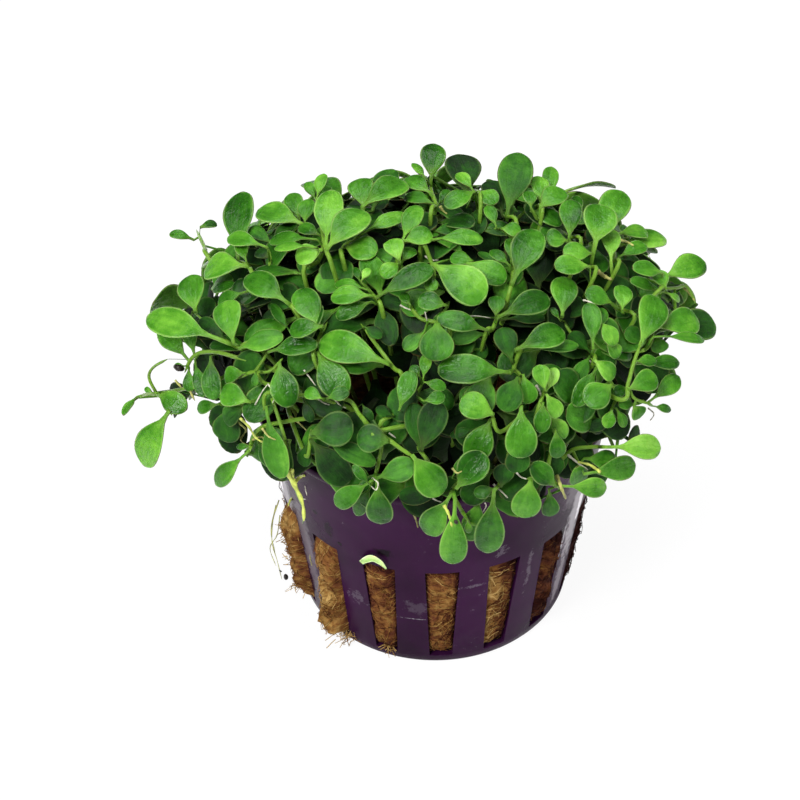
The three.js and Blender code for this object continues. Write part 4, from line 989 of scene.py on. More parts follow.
def layInnerLeaves():
    rng = random.Random(11)
    spots, owners = [], []
    for n, sprig in enumerate(sprigs):
        sprig["inner"] = []
        for line in sprig["lines"]:
            for q in smoothLine(line, 8)[1:]:
                spots.append(q)
                owners.append(n)
    spots = np.array(spots)
    jitter = innerLie["facingJitter"]
    for share, count, size, tone in shells:
        for i in range(count):
            turn = i * innerLie["turn"] + rng.uniform(-innerLie["turnJitter"], innerLie["turnJitter"])
            if 1 - 2 * (i + 0.5) / count < innerLie["lowest"]:
                continue
            p = shellPoint(i, count, share, turn)
            outward = matNormal(p)
            aside = unit(np.cross(outward, [0.3, 0.2, 1]))
            other = np.cross(outward, aside)
            a = rng.uniform(0, 2 * math.pi)
            lean = unit(aside * math.cos(a) + other * math.sin(a) + outward * rng.uniform(*innerLie["lean"]))
            reach = size * rng.uniform(*innerLie["length"])
            tip = p + lean * reach
            if overPot(p, tip):
                continue
            nearest = int(np.argmin(np.linalg.norm(spots - p, axis=1)))
            far = np.linalg.norm(spots[nearest] - p) > innerLie["stemReach"]
            if far or not inOutline(p) or not inOutline(tip):
                continue
            facing = outward * innerLie["facing"] + np.array(
                [rng.uniform(-jitter, jitter), rng.uniform(-jitter, jitter), innerLie["upward"]])
            leaf = leafFrame(p, tip, reach * rng.uniform(*innerLie["width"]), facing)
            leaf["tone"], leaf["layer"], leaf["root"] = tone, -1, spots[nearest]
            sprigs[owners[nearest]]["inner"].append(leaf)


stemLook = {"main": 0.00032, "branch": 0.00024, "taper": 0.25, "endTaper": 6, "endShare": 0.9, "sides": 8}


def stemRadii(thick):
    return lambda share: thick * (
        1 - stemLook["taper"] * share - stemLook["endTaper"] * max(0, share - stemLook["endShare"]))


def buildSprigs(material):
    for n, sprig in enumerate(sprigs):
        rng = random.Random(100 + n)
        bundle = Bundle()
        for i, line in enumerate(sprig["lines"]):
            radii = stemRadii(stemLook["main"] if i == 0 else stemLook["branch"])
            addTube(bundle, smoothLine(line, 6), radii, stemLook["sides"], (0, rng.random(), 0))
        for k, leaf in enumerate(sprig["leaves"]):
            addLeaf(bundle, leaf, nearestOn(leaf["base"], sprig["stems"]), n * 100 + k)
        for k, leaf in enumerate(sprig["inner"]):
            addLeaf(bundle, leaf, leaf["root"], n * 100 + 50 + k, innerShape)
        obj = bundle.build(f"sprig_{n + 1:02d}_foliage", material)
        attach(obj, "root")
        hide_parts(f"sprig_{n + 1:02d}")


layInnerLeaves()
buildSprigs(leafMaterial())
print("foliage built, inner leaves:", sum(len(sprig["inner"]) for sprig in sprigs))


# two skins around the axis with openings through them: outer and inner give a point for a row and a column,
# isOpen says which cells are cut out
def piercedShell(rows, columns, outer, inner, isOpen):
    points, index, faces = [], {}, []

    def at(skin, i, j):
        key = (skin, i, j % columns)
        if key not in index:
            index[key] = len(points)
            points.append((outer if skin == 0 else inner)(i, key[2]))
        return index[key]

    def solidCell(i, j):
        return 0 <= i < rows - 1 and not isOpen(i, j % columns)

    for i in range(rows - 1):
        for j in range(columns):
            if not solidCell(i, j):
                continue
            corners = ((i, j), (i, j + 1), (i + 1, j + 1), (i + 1, j))
            faces.append([at(0, *c) for c in corners])
            faces.append([at(1, *c) for c in corners[::-1]])
            sides = zip(corners, corners[1:] + corners[:1], ((-1, 0), (0, 1), (1, 0), (0, -1)))
            for a, b, (di, dj) in sides:
                if not solidCell(i + di, j + dj):
                    faces.append([at(0, *b), at(0, *a), at(1, *a), at(1, *b)])
    return points, faces


# cells of the pot's skins: across a slot, across the wall between two slots, and up a slot
potForm = {
    "inSlot": 6, "inPillar": 6, "upSlot": 12, "aboveSlots": (0.0225, 0.026, 0.030, 0.034),
    # rows below the slots as (height outside, reach past the wall, height inside)
    "foot": [(0, -0.0006, 0.0012), (0.0001, -0.0002, 0.0013), (0.0005, 0, 0.0014)],
    "edge": 0.00016, "edgeSteps": 2, "edgeAngle": 40,
    "hub": 0.003, "hubEnd": 0.0035, "drainMiddle": 0.004, "floorEnd": 0.0195, "drainTurn": 11.25,
    "inDrain": 2, "betweenDrains": 4,
}


def potWall():
    inSlot, inPillar = potForm["inSlot"], potForm["inPillar"]
    period = inSlot + inPillar
    rimFoot, top, lip = pot["height"] - pot["lipHeight"], pot["height"], pot["lipReach"]
    slotTall = pot["slotTop"] - pot["slotFoot"]
    rows = list(potForm["foot"])
    first, last = len(rows), len(rows) + potForm["upSlot"]
    for k in range(potForm["upSlot"] + 1):
        z = pot["slotFoot"] + slotTall * k / potForm["upSlot"]
        rows.append((z, 0, z))
    rows += [(z, 0, z) for z in potForm["aboveSlots"]]
    rows += [(rimFoot - 0.0002, 0, rimFoot), (rimFoot + 0.0001, lip * 0.9, rimFoot + 0.0003),
             (rimFoot + 0.0006, lip, rimFoot + 0.0006), (top - 0.0003, lip, top - 0.0002),
             (top - 0.00005, lip - 0.00015, top - 0.00005), (top, lip - 0.0004, top)]

    # the columns keep to the edges of the slots, which widen to the top
    def angleAt(i, j, radius):
        z = min(pot["slotTop"], max(pot["slotFoot"], rows[i][0]))
        share = (z - pot["slotFoot"]) / slotTall
        reach = math.asin((pot["slotHalfFoot"] + (pot["slotHalfTop"] - pot["slotHalfFoot"]) * share) / radius)
        pitch = 2 * math.pi / pot["slots"]
        k, m = divmod(j, period)
        centre = math.radians(pot["slotTurn"]) + k * pitch
        if m <= inSlot:
            return centre - reach + 2 * reach * m / inSlot
        return centre + reach + (pitch - 2 * reach) * (m - inSlot) / inPillar

    def skin(i, j, radius, z):
        a = angleAt(i, j, radius)
        return (radius * math.sin(a), -radius * math.cos(a), z)

    return piercedShell(
        len(rows), pot["slots"] * period,
        lambda i, j: skin(i, j, outerAt(rows[i][0]) + rows[i][1], rows[i][0]),
        lambda i, j: skin(i, j, innerAt(rows[i][2]), rows[i][2]),
        lambda i, j: first <= i < last and j % period < inSlot)


# floor with its radial drain slots, and the hub in its middle
def potFloor():
    radii = [potForm["hub"], pot["drainInner"], pot["drainInner"] + potForm["drainMiddle"], pot["drainOuter"],
             potForm["floorEnd"]]
    inDrain, between = potForm["inDrain"], potForm["betweenDrains"]
    period = inDrain + between
    columns = pot["drains"] * period

    def at(i, j, z):
        r = radii[i]
        pitch = 2 * math.pi / pot["drains"]
        reach = math.asin(min(0.9, pot["drainHalf"] / r)) if r > potForm["hubEnd"] else pitch * 0.25
        k, m = divmod(j, period)
        centre = math.radians(pot["slotTurn"] + potForm["drainTurn"]) + k * pitch
        if m <= inDrain:
            a = centre - reach + 2 * reach * m / inDrain
        else:
            a = centre + reach + (pitch - 2 * reach) * (m - inDrain) / between
        return (r * math.sin(a), -r * math.cos(a), z)

    points, faces = piercedShell(
        len(radii), columns, lambda i, j: at(i, j, pot["floor"]), lambda i, j: at(i, j, 0.0),
        lambda i, j: i in (1, 2) and j % period < inDrain)
    count = len(points)
    points += [at(0, j, z) for z in (pot["floor"], 0.0) for j in range(columns)]
    faces.append([count + k for k in range(columns)])
    faces.append([count + columns + k for k in range(columns)][::-1])
    return points, faces


def buildPot(material):
    points, faces = potWall()
    floorPoints, floorFaces = potFloor()
    faces += [[i + len(points) for i in face] for face in floorFaces]
    obj = meshObject("net_pot", points + floorPoints, faces, material, smooth=False)
    obj.data.shade_smooth()
    bevel = obj.modifiers.new("edges", "BEVEL")
    bevel.width, bevel.segments = potForm["edge"], potForm["edgeSteps"]
    bevel.limit_method, bevel.angle_limit = "ANGLE", math.radians(potForm["edgeAngle"])
    bevel.harden_normals = True
    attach(obj, "root")
    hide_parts("pot")


# marks on the wall of the pot, lime deposits, painted highlights and sheen, and painted shadows: [turn from
# the front, height, half width, half height, strength]
potMarks = {
    "lime": [
        (-31.8, 0.0123, 0.0013, 0.0011, 0.3), (-7.4, 0.0134, 0.0018, 0.0013, 0.2),
        (-8.7, 0.0106, 0.0026, 0.0001, 1.0), (13.1, 0.0179, 0.0016, 0.0003, 0.5),
        (21.9, 0.0243, 0.0007, 0.0011, 0.4), (34.7, 0.0168, 0.0004, 0.0030, 0.5),
        (42.8, 0.0121, 0.0004, 0.0006, 1.0)],
    # painted highlights and sheen where the wall turns away near its left and right edges
    "paintedSheen": [
        (-71.0, 0.0245, 0.0009, 0.0026, 1.1), (-66.0, 0.0250, 0.0022, 0.0060, 0.30),
        (-56.0, 0.0160, 0.0016, 0.0140, 0.14), (61.0, 0.0245, 0.0009, 0.0065, 1.3),
        (58.5, 0.0220, 0.0022, 0.0120, 0.5), (57.5, 0.0080, 0.0014, 0.0060, 0.30),
        (52.5, 0.0180, 0.0003, 0.0050, 0.5), (54.0, 0.0300, 0.0030, 0.0060, 0.16)],
    # painted shadows cast by leaf bits on the wall, a few small dark spots, and a painted dark line of shade
    # and reflection down the right edge
    "dark": [
        (-40.0, 0.0257, 0.0008, 0.0021, 0.8), (-18.5, 0.0250, 0.0014, 0.0009, 1.2),
        (-45.2, 0.0276, 0.0005, 0.0005, 1.0), (-35.6, 0.0235, 0.0005, 0.0005, 1.0),
        (-62.0, 0.0240, 0.0006, 0.0050, 0.5), (68.0, 0.0180, 0.0008, 0.0100, 0.9)],
}
# how far the noise frays the edge of a mark of each kind, and the radius at which turns are measured
markFray = {"lime": 6.5, "paintedSheen": 1.8, "dark": 2.0}
markRadius = 0.0222


# masks of the lime, of the painted highlights and sheen, and of the painted shadows on the wall
def wallMarks(n):
    x, y, z = n.objectPlace()
    turn = n.math("MULTIPLY", n.math("ARCTAN2", x, n.math("MULTIPLY", y, -1.0)), markRadius)
    ragged = n.math("SUBTRACT", n.noise(1100, 5, 0.75), 0.5)
    masks = []
    for kind, marks in potMarks.items():
        mask = 0.0
        for angle, height, width, tall, strength in marks:
            u = n.math("DIVIDE", n.math("SUBTRACT", turn, math.radians(angle) * markRadius), width)
            v = n.math("DIVIDE", n.math("SUBTRACT", z, height), tall)
            far = n.math("SQRT", n.math("ADD", n.math("MULTIPLY", u, u), n.math("MULTIPLY", v, v)))
            near = n.invert(n.step(n.math("MULTIPLY_ADD", ragged, markFray[kind], far), 0.45, 1.15))
            mask = n.math("MAXIMUM", mask, n.math("MULTIPLY", near, strength))
        masks.append(mask)
    return masks


wallGroup = newGroup("wall marks", potMarks, wallMarks)

# colours of the pot: purple plastic, lime, the pale lilac of the painted highlights and sheen, and the near
# black of the painted shadows
potLook = {
    "purple": [(0.35, (0.013, 0.0022, 0.0135)), (0.65, (0.027, 0.0046, 0.029))], "lime": (0.50, 0.47, 0.52),
    "paintedSheen": (0.80, 0.76, 0.80), "dark": (0.003, 0.001, 0.003), "specular": 0.03,
    "film": 0.004, "specks": 0.12, "paintedSheenShare": 0.75, "darkShare": 0.8, "roughness": (0.16, 0.16),
    "limeDull": 0.5, "limeSpecks": (0.5, 0.25), "cloudNoise": (60, 4), "speckNoise": (1300, 3, 0.6),
    "smearNoise": (150, 4, 0.7), "speckEdge": (0.62, 0.72), "smearEdge": (0.52, 0.70),
    "unevenNoise": (140, 2), "unevenBump": (0.0003, 0.6), "crustNoise": (1200, 3),
    "crustBump": (0.00003, 0.4), "limeRise": 1.5,
}


def potMaterial():
    material, n, shader = newMaterial("pot_plastic", (0.03, 0.01, 0.027), 0.28, potLook["specular"])
    marks = n.group(wallGroup)
    cloud = n.noise(*potLook["cloudNoise"])
    color = n.ramp(cloud, potLook["purple"])
    specks = n.step(n.noise(*potLook["speckNoise"]), *potLook["speckEdge"])
    smear = n.step(n.noise(*potLook["smearNoise"]), *potLook["smearEdge"])
    dust = n.math("MULTIPLY", n.math("MULTIPLY", specks, smear), potLook["specks"])
    film = n.math("MULTIPLY_ADD", smear, potLook["film"], dust)
    spots = n.math("MULTIPLY", marks["lime"], n.math("MULTIPLY_ADD", specks, *potLook["limeSpecks"]))
    film = n.math("MAXIMUM", film, spots, clamp=True)
    color = n.mix(film, color, (*potLook["lime"], 1))
    # painted highlights and sheen, then painted shadows, laid over the purple
    for kind in ("paintedSheen", "dark"):
        factor = n.math("MULTIPLY", marks[kind], potLook[kind + "Share"], clamp=True)
        color = n.mix(factor, color, (*potLook[kind], 1))
    n.wire(color, shader["Base Color"])
    roughness = n.math("MULTIPLY_ADD", cloud, *potLook["roughness"])
    n.wire(n.math("MULTIPLY_ADD", film, potLook["limeDull"], roughness), shader["Roughness"])
    uneven = n.bump(n.noise(*potLook["unevenNoise"]), *potLook["unevenBump"])
    crust = n.math("MULTIPLY_ADD", film, potLook["limeRise"], n.noise(*potLook["crustNoise"]))
    n.wire(n.bump(crust, *potLook["crustBump"], uneven), shader["Normal"])
    return material


wool = {
    "rows": 26, "across": 10, "deep": 0.0011, "past": 0.0002,  # the faces of the slots, past their sides
    "rib": -0.00005, "ribJitter": (-0.0003, 0.0002), "bulgeHeights": (0.07, 0.25, 0.5, 0.75, 1),
    "fibres": 150, "fibreRadius": 0.000045, "fibreWidth": (0.6, 1.5), "fibrePoints": 6,
    "fibreStep": (0.0004, 0.0011), "fibreLift": (0.00005, 0.0003), "bend": 1.6,
    # the dark tones of slots 2 and 3, towards the right edge, are painted shade, and the right sides of the
    # slots are darkened as painted shade; the other tones are the wool's own
    "tones": {-3: 0.10, -2: 0.20, -1: -0.08, 0: -0.02, 1: 0.02, 2: -0.30, 3: -0.65},  # by slot, 0 in front
    "shadedSide": {1: 0.34, 0: 0.10}, "shaded": 0.06,  # how much darker the right side of a slot is
    # reach past the wall from the foot of a slot to its head, where the wool bulges out
    "bulges": {-2: [0.0034, 0.0024, 0.0013, 0.0010, 0.0010], -3: [0.0013, 0.0014, 0.0016, 0.0015, 0.0007],
               -1: [0.0006, 0.0003, 0.0003, 0.0003, 0.0003], 2: [0.0003, 0.0003, 0.0003, 0.0003, 0.0003]},
    # loose ends at the feet of slots: turn, reach from the axis, height, half size
    "ends": [(-41.0, 0.0216, 0.0030, 0.0016), (-38.0, 0.0214, 0.0022, 0.0013),
             (-66.5, 0.0222, 0.0050, 0.0012), (-68.0, 0.0228, 0.0100, 0.0014),
             (-67.0, 0.0234, 0.0165, 0.0014), (-20.5, 0.0201, 0.0023, 0.0006)],
    "endFibres": 40, "endStep": 0.00019, "endCurl": 0.0005, "endWidth": (0.7, 1.6), "endTone": (0.6, 1.1),
    "lumps": 0.0005, "grain": 0.0003, "bulgeRough": 900,  # unevenness of a face, more where it bulges
    "plugRing": 48, "plugRows": 16, "plugGap": 0.0004, "plugRound": 0.0012, "plugTop": 11.5,
    "color": [(0.08, (0.020, 0.004, 0.003)), (0.30, (0.080, 0.024, 0.010)), (0.52, (0.16, 0.068, 0.018)),
              (0.75, (0.27, 0.155, 0.045)), (1.0, (0.47, 0.31, 0.11))],
    "streakNoise": (900, 4, 0.6), "streak": 0.9, "clumpNoise": (240, 3, 0.6), "clump": 1.1,
    "edgeShade": -0.42,
}


# face of the wool in slot k: u from -1 to 1 across it, v from 0 to 1 up it
def slotFace(k, out, side, reach):
    def at(u, v):
        z = pot["slotFoot"] + 0.0001 + (pot["slotTop"] - pot["slotFoot"] - 0.0002) * v
        half = pot["slotHalfFoot"] + (pot["slotHalfTop"] - pot["slotHalfFoot"]) * v + wool["past"]
        crown = (1 - abs(u) ** 4) * (1 - abs(2 * v - 1) ** 8)
        rough = (noise.noise(Vector((u * 2 + k * 9, v * 7, 3))) * wool["lumps"]
                 + noise.noise(Vector((u * 7 + k * 5, v * 26, 8))) * wool["grain"])
        past = np.interp(v, wool["bulgeHeights"], reach)
        rough *= 1 + wool["bulgeRough"] * past
        r = outerAt(z) - wool["deep"] + (past + wool["deep"] + rough) * crown
        return out * r + side * half * u * (1 + 0.05 * crown) + np.array([0, 0, z])
    return at


# adds the face of a slot to the points, faces and looks of the plug
def addSlotFace(points, faces, looks, surface, tone, shaded):
    rows, across = wool["rows"], wool["across"]
    start = len(points)
    for i in range(rows + 1):
        for j in range(across + 1):
            u, v = 2 * j / across - 1, i / rows
            points.append(surface(u, v))
            edge = max(abs(u) ** 4, (1 - v) ** 14, v ** 16)
            looks.append((0.5 + tone - shaded * u, edge, 0))
    for i in range(rows):
        for j in range(across):
            a = start + i * (across + 1) + j
            faces.append((a, a + 1, a + across + 2, a + across + 1))


# a fibre that wanders over the face of a slot
def addFibre(bundle, rng, surface, out, tone, shaded):
    u, v = rng.uniform(-0.95, 0.95), rng.uniform(0.02, 0.98)
    heading, bend = rng.uniform(0, 6.3), rng.uniform(-wool["bend"], wool["bend"])
    step = rng.uniform(*wool["fibreStep"])
    least, most = wool["fibreLift"]
    line = []
    for _ in range(wool["fibrePoints"]):
        p = surface(max(-1, min(1, u)), max(0, min(1, v)))
        line.append(p + out * (least + most * rng.random() ** 3))
        u += math.cos(heading) * step / pot["slotHalfTop"]
        v += math.sin(heading) * step / (pot["slotTop"] - pot["slotFoot"])
        heading += bend * 0.3
    strand = 0.3 + 0.5 * rng.random() + tone - shaded * u
    radius = wool["fibreRadius"] * rng.uniform(*wool["fibreWidth"])
    addTube(bundle, line, radius, 3, (strand, 0.15 * abs(u), 0))


# tufts of short fibres at the torn feet of slots
def addEnds(bundle, rng):
    for turn, r, height, size in wool["ends"]:
        a = math.radians(turn)
        out = np.array([math.sin(a), -math.cos(a), 0])
        for _ in range(wool["endFibres"]):
            way = [np.array([rng.uniform(-1, 1), rng.uniform(-1, 1), rng.uniform(-1, 0.6)]) for q in range(3)]
            start = out * (r - size * rng.uniform(0.2, 0.8)) + np.array([0, 0, height]) + way[0] * size * 0.8
            lean = unit(out * rng.uniform(0, 0.8) + way[1])
            line = [start + lean * wool["endStep"] * q + way[2] * wool["endCurl"] * (q / 3) ** 2
                    for q in range(5)]
            line = [np.array([x, y, max(0.0002, z)]) for x, y, z in line]
            radius = wool["fibreRadius"] * rng.uniform(*wool["endWidth"])
            addTube(bundle, line, radius, 3, (rng.uniform(*wool["endTone"]), 0, 0))


# the body of the plug inside the pot, rounded at its top
def addPlug(points, faces):
    ring, top, rounding = wool["plugRing"], leafMat["woolTop"], wool["plugRound"]
    heights = np.linspace(pot["floor"] + wool["plugGap"], top - rounding, wool["plugRows"])
    profile = [(innerAt(z) - wool["plugGap"], z) for z in heights]
    for q in range(1, 12):
        r = (innerAt(top) - wool["plugGap"]) * (1 - q / wool["plugTop"])
        profile.append((r, top - rounding / (q + 0.5)))
    start = len(points)
    for r, z in profile:
        for j in range(ring):
            a = 2 * math.pi * j / ring
            rough = noise.noise(Vector((math.sin(a) * r * 700, math.cos(a) * r * 700, z * 700))) * 0.0005
            points.append((math.sin(a) * (r - abs(rough)), -math.cos(a) * (r - abs(rough)), z + rough * 0.6))
    for i in range(len(profile) - 1):
        for j in range(ring):
            a, b = start + i * ring + j, start + i * ring + (j + 1) % ring
            faces.append((a, b, b + ring, a + ring))
    faces.append([start + (len(profile) - 1) * ring + j for j in range(ring)])
    faces.append([start + j for j in range(ring)][::-1])


# wool in the slots and the plug inside, with loose fibres on it
def buildWool(material):
    points, faces, looks = [], [], []
    rng = random.Random(7)
    fibres = [Bundle(), Bundle()]
    for k in range(pot["slots"]):
        centre = math.radians(pot["slotTurn"]) + k * 2 * math.pi / pot["slots"]
        out = np.array([math.sin(centre), -math.cos(centre), 0])
        side = np.array([math.cos(centre), math.sin(centre), 0])
        slot = k if k < pot["slots"] / 2 else k - pot["slots"]
        flat = [wool["rib"] + rng.uniform(*wool["ribJitter"])] * len(wool["bulgeHeights"])
        surface = slotFace(k, out, side, wool["bulges"].get(slot, flat))
        tone = wool["tones"].get(slot, 0)
        addSlotFace(points, faces, looks, surface, tone, wool["shadedSide"].get(slot, wool["shaded"]))
        for _ in range(wool["fibres"]):
            addFibre(fibres[k % 2], rng, surface, out, tone, wool["shadedSide"].get(slot, 0))
    addEnds(fibres[1], rng)
    addPlug(points, faces)
    looks += [(0.4, 0.3, 0)] * (len(points) - len(looks))
    body = meshObject("wool_plug", points, faces, material, {"look": looks})
    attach(body, "root")
    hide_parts("wool")
    for name, bundle in zip(("wool_fibres_a", "wool_fibres_b"), fibres):
        obj = bundle.build(name, material)
        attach(obj, "root")


def woolMaterial():
    material, n, shader = newMaterial("mineral_wool", (0.25, 0.13, 0.05), 0.85, 0.05)
    strand, edge, _ = n.attribute("look")
    streaks = n.noise(*wool["streakNoise"])
    clumps = n.noise(*wool["clumpNoise"])
    value = n.math("MULTIPLY_ADD", n.math("SUBTRACT", streaks, 0.5), wool["streak"], strand)
    value = n.math("MULTIPLY_ADD", n.math("SUBTRACT", clumps, 0.5), wool["clump"], value)
    value = n.math("MULTIPLY_ADD", edge, wool["edgeShade"], value)
    n.wire(n.ramp(value, wool["color"]), shader["Base Color"])
    n.wire(n.bump(streaks, 0.0004, 0.9), shader["Normal"])
    return material


buildPot(potMaterial())
buildWool(woolMaterial())
print("pot and wool built")


# torn leaf arched over the head of a slot: points along it, half its height there
tornLeaf = {
    "points": [(-0.01045, -0.02074, 0.0220), (-0.00975, -0.02135, 0.0232), (-0.0089, -0.02172, 0.0239),
               (-0.0079, -0.02205, 0.0234), (-0.0071, -0.02216, 0.0222)],
    "halfHeight": [0.00036, 0.00050, 0.00062, 0.00050, 0.00012], "halfThick": 0.00012, "steps": 5,
    "pale": (0.46, 0.60, 0.23), "green": (0.20, 0.40, 0.06), "rim": (0.60, 0.68, 0.36),
}


def tornMaterial():
    material, n, shader = newMaterial("torn leaf", tornLeaf["pale"], 0.4, 0.3)
    marks = n.group(bladeGroup)
    color = n.mix(n.step(n.noise(300, 3), 0.42, 0.62), (*tornLeaf["pale"], 1), (*tornLeaf["green"], 1))
    color = n.mix(n.step(marks["across"], 0.55, 0.95), color, (*tornLeaf["rim"], 1))
    n.wire(n.mix(n.math("MULTIPLY", marks["vein"], 0.3), color, (*tornLeaf["rim"], 1)), shader["Base Color"])
    shader["Subsurface Weight"].default_value = 0.2
    shader["Subsurface Scale"].default_value = 0.0006
    return material


def buildTornLeaf(material):
    line = smoothLine(tornLeaf["points"], tornLeaf["steps"])
    shares = np.linspace(0, len(tornLeaf["points"]) - 1, len(line))
    heights = np.interp(shares, range(len(tornLeaf["points"])), tornLeaf["halfHeight"])
    points, place, around = [], [], 12
    for i, (p, half) in enumerate(zip(line, heights)):
        out = unit(np.array([p[0], p[1], 0]))
        along = unit(line[min(i + 1, len(line) - 1)] - line[max(i - 1, 0)])
        side = unit(np.cross(out, along))
        for j in range(around):
            a = 2 * math.pi * j / around
            curl = 0.25 * half * math.cos(a) ** 2
            points.append(p + side * half * math.cos(a) + out * (tornLeaf["halfThick"] * math.sin(a) + curl))
            place.append((i / len(line), math.cos(a), upperFace))
    bundle = Bundle()
    bundle.add(np.array(points), ringFaces(len(line), around), np.array(place), (1, 0.5, 2))
    obj = bundle.build("torn_leaf_piece", material)
    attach(obj, "root")
    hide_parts("torn_leaf")


buildTornLeaf(tornMaterial())


# rootlets, threads, cut stems and buds that lie on the mat and the pot: points seen in the view, half width
strays = {
    "white": {"color": (0.62, 0.6, 0.48), "lines": [
        ([(252, 303), (254, 309), (252, 315)], 0.09), ([(259, 308), (262, 317)], 0.09),
        ([(255, 405), (262, 392), (268, 384)], 0.1), ([(268, 384), (275, 395), (272, 404)], 0.1),
        ([(304, 370), (310, 378), (316, 386)], 0.11), ([(318, 399), (324, 403), (330, 405)], 0.1),
        ([(335, 400), (340, 405), (346, 408)], 0.1), ([(389, 433), (396, 438)], 0.12),
        ([(400, 305), (408, 309), (417, 311)], 0.12), ([(462, 317), (476, 316), (491, 318)], 0.1),
        ([(372, 478), (378, 483), (376, 490), (371, 486)], 0.1),
        ([(428, 495), (438, 501), (449, 502)], 0.12), ([(493, 484), (500, 490), (508, 498)], 0.13),
        ([(517, 473), (521, 477), (527, 479)], 0.12), ([(536, 385), (540, 392), (542, 401)], 0.16),
        ([(583, 358), (591, 362), (588, 372), (582, 375)], 0.1),
        ([(568, 455), (578, 463), (588, 470)], 0.16), ([(648, 408), (654, 414), (650, 421)], 0.12),
        ([(583, 300), (592, 303), (600, 311)], 0.12), ([(425, 256), (431, 260), (439, 260)], 0.12),
        ([(425, 312), (427, 321)], 0.1), ([(305, 486), (307, 496)], 0.1), ([(304, 499), (315, 499)], 0.1),
        ([(480, 497), (486, 505), (483, 512)], 0.1), ([(640, 246), (647, 252), (652, 262)], 0.08)]},
    "straw": {"color": (0.36, 0.36, 0.1), "lines": [
        ([(440, 206), (443, 211), (447, 214)], 0.22), ([(597, 271), (604, 276), (612, 280)], 0.32),
        ([(620, 240), (627, 242), (634, 246)], 0.2), ([(557, 476), (561, 487), (566, 499)], 0.26),
        ([(680, 285), (688, 292), (695, 301)], 0.16),
        ([(236, 421), (246, 430), (241, 440), (255, 450)], 0.16),
        ([(252, 440), (262, 437), (268, 446)], 0.14), ([(262, 428), (268, 436), (276, 440)], 0.14),
        ([(413, 513), (416, 520), (418, 528)], 0.14), ([(190, 391), (195, 401)], 0.18),
        ([(175, 380), (182, 388)], 0.18), ([(452, 468), (457, 473), (462, 471)], 0.14),
        ([(290, 416), (300, 424), (310, 434)], 0.13),
        ([(279, 500), (273, 520), (272, 542), (277, 560), (282, 580)], 0.09),
        ([(280, 515), (277, 535), (270, 548), (276, 566)], 0.08),
        ([(276, 505), (271, 530), (275, 552)], 0.07), ([(312, 545), (310, 556), (312, 566)], 0.09)]},
    "green": {"color": (0.44, 0.5, 0.09), "lines": [
        ([(286, 470), (292, 481), (298, 492), (303, 505), (304, 521)], 0.34),
        ([(295, 482), (300, 477), (305, 475)], 0.3), ([(292, 470), (293, 478), (297, 487)], 0.26),
        ([(296, 494), (291, 499), (288, 506)], 0.2),
        ([(240, 418), (249, 427), (256, 438), (266, 444)], 0.18),
        ([(444, 505), (449, 515), (452, 527)], 0.22), ([(600, 472), (590, 465), (577, 462)], 0.22)]},
    "bud": {"color": (0.012, 0.008, 0.005), "lines": [
        ([(285, 574), (286, 577), (286, 580)], 0.34), ([(282, 572), (279, 570)], 0.1),
        ([(174, 366), (179, 368), (184, 369)], 0.45), ([(600, 274), (604, 276)], 0.22),
        ([(455, 520), (457, 524)], 0.25)]},
}


def seenTrees():
    graph = bpy.context.evaluated_depsgraph_get()
    return [BVHTree.FromObject(obj, graph) for obj in scene.objects if obj.name in laidObjects]


# points on what the view shows there, a little in front of it; a line keeps to the depth most of it has
def seenLine(trees, points, lift):
    rays = [sightLine(x, y) for x, y in points]
    depths = []
    for ray in rays:
        casts = [tree.ray_cast(Vector(eye), Vector(ray)) for tree in trees]
        hits = [distance for place, _, _, distance in casts if place is not None]
        depths.append(min(hits) if hits else None)
    found = sorted(d for d in depths if d is not None)
    middle = found[len(found) // 2] if found else -(eye - np.array([0, 0, 0.02])) @ rays[0]
    return [eye + ray * (min(middle, middle if d is None else max(d, middle - 0.002)) - lift)
            for ray, d in zip(rays, depths)]


def strayMaterial(name, color):
    material, n, shader = newMaterial("stray_" + name, color, 0.45, 0.3)
    mottle = n.noise(900, 3, 0.6)
    dark = tuple(c * 0.45 for c in color)
    n.wire(n.ramp(mottle, [(0.35, dark), (0.62, color)]), shader["Base Color"])
    n.wire(n.bump(mottle, 0.0002, 0.6), shader["Normal"])
    return material


# radius along a stray: a bud swells in its middle, the others thin to an uneven end
def strayRadii(name, radius):
    if name == "bud":
        return lambda s: radius * (0.25 + 0.75 * math.sin(math.pi * s) ** 0.6)
    return lambda s: radius * (1 - 0.45 * s + 0.18 * math.sin(23 * s)) * (1 if s < 0.97 else 0.4)


def buildStrays():
    trees = seenTrees()
    rng = random.Random(5)
    for name, kind in strays.items():
        bundle = Bundle()
        for points, width in kind["lines"]:
            radius = width * 0.001
            line = smoothLine(seenLine(trees, points, radius * 0.8), 5)
            addTube(bundle, line, strayRadii(name, radius), 8, (0, rng.random(), 0))
        obj = bundle.build("stray_" + name, strayMaterial(name, kind["color"]))
        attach(obj, "root")


buildStrays()
print("strays built")


# studio: pale floor and room, soft lights, and the view of the photo
studio = {
    "floor": 6.0, "aim": (0, 0, 0.03),
    # place, size and power of each light
    "lights": {"key": ((-0.30, -0.42, 0.62), 0.26, 7.8), "fill": ((0.55, -0.25, 0.40), 0.5, 1.4),
               "top": ((0.0, 0.10, 0.75), 0.5, 5.0)},
    "glow": 0.93,  # share of the floor's white that no shadow dims for the camera
    "room": 0.20,  # how much the room lights, where the camera sees it as 1
}


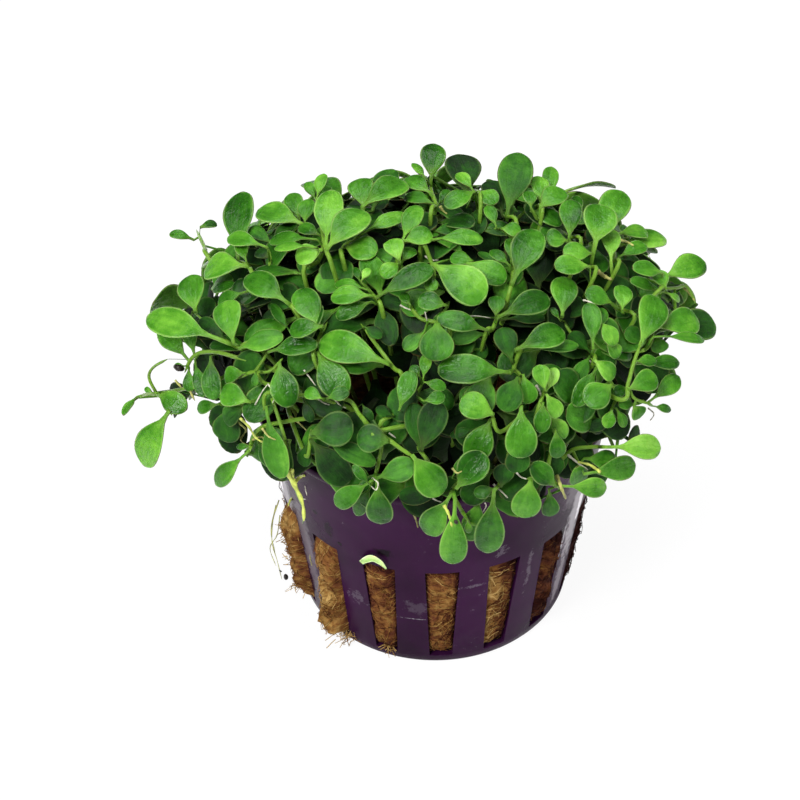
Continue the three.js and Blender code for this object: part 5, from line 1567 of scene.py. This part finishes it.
def areaLight(name, place, size, power):
    light = bpy.data.lights.new(name, "AREA")
    light.shape, light.size, light.energy = "DISK", size, power
    obj = bpy.data.objects.new(name, light)
    obj.location = place
    obj.rotation_euler = (Vector(studio["aim"]) - Vector(place)).to_track_quat("-Z", "Y").to_euler()
    scene.collection.objects.link(obj)


def buildStudio():
    half = studio["floor"] / 2
    material, n, shader = newMaterial("studio_floor", (0.9, 0.9, 0.9), 0.8, 0.0)
    grain = n.noise(40, 2)
    seen = n.math("MULTIPLY", n.add("LightPath").outputs["Is Camera Ray"], studio["glow"])
    pale = n.ramp(grain, [(0.3, (0.93, 0.93, 0.93)), (0.7, (0.96, 0.96, 0.96))])
    n.wire(n.mix(seen, pale, (0, 0, 0, 1)), shader["Base Color"])
    shader["Emission Color"].default_value = (1, 1, 1, 1)
    n.wire(seen, shader["Emission Strength"])
    corners = [(-half, -half, 0), (half, -half, 0), (half, half, 0), (-half, half, 0)]
    meshObject("studio_floor", corners, [(0, 1, 2, 3)], material, smooth=False)
    for name, (place, size, power) in studio["lights"].items():
        areaLight(name, place, size, power)
    world = bpy.data.worlds.new("studio")
    world.use_nodes = True
    background = world.node_tree.nodes["Background"].inputs
    background["Color"].default_value = (1, 1, 1, 1)
    w = Nodes(world.node_tree)
    seenRoom = w.add("LightPath").outputs["Is Camera Ray"]
    strength = w.math("MULTIPLY_ADD", seenRoom, 1 - studio["room"], studio["room"])
    w.wire(strength, background["Strength"])
    scene.world = world
    scene.view_settings.view_transform = "Standard"


def buildCamera():
    camera = bpy.data.objects.new("camera", bpy.data.cameras.new("camera"))
    camera.data.sensor_width = 36
    camera.data.lens = camera.data.sensor_width * view["focal"] / (2 * view["centre"])
    camera.data.clip_start = 0.01
    cos, sin = math.cos(view["roll"]), math.sin(view["roll"])
    axes = (viewRight * cos - viewUp * sin, viewRight * sin + viewUp * cos, viewBack)
    matrix = Matrix.Identity(4)
    for c, axis in enumerate(axes):
        for r in range(3):
            matrix[r][c] = axis[r]
    for r in range(3):
        matrix[r][3] = eye[r]
    camera.matrix_world = matrix
    scene.collection.objects.link(camera)
    scene.camera = camera


buildStudio()
buildCamera()
print("studio ready")
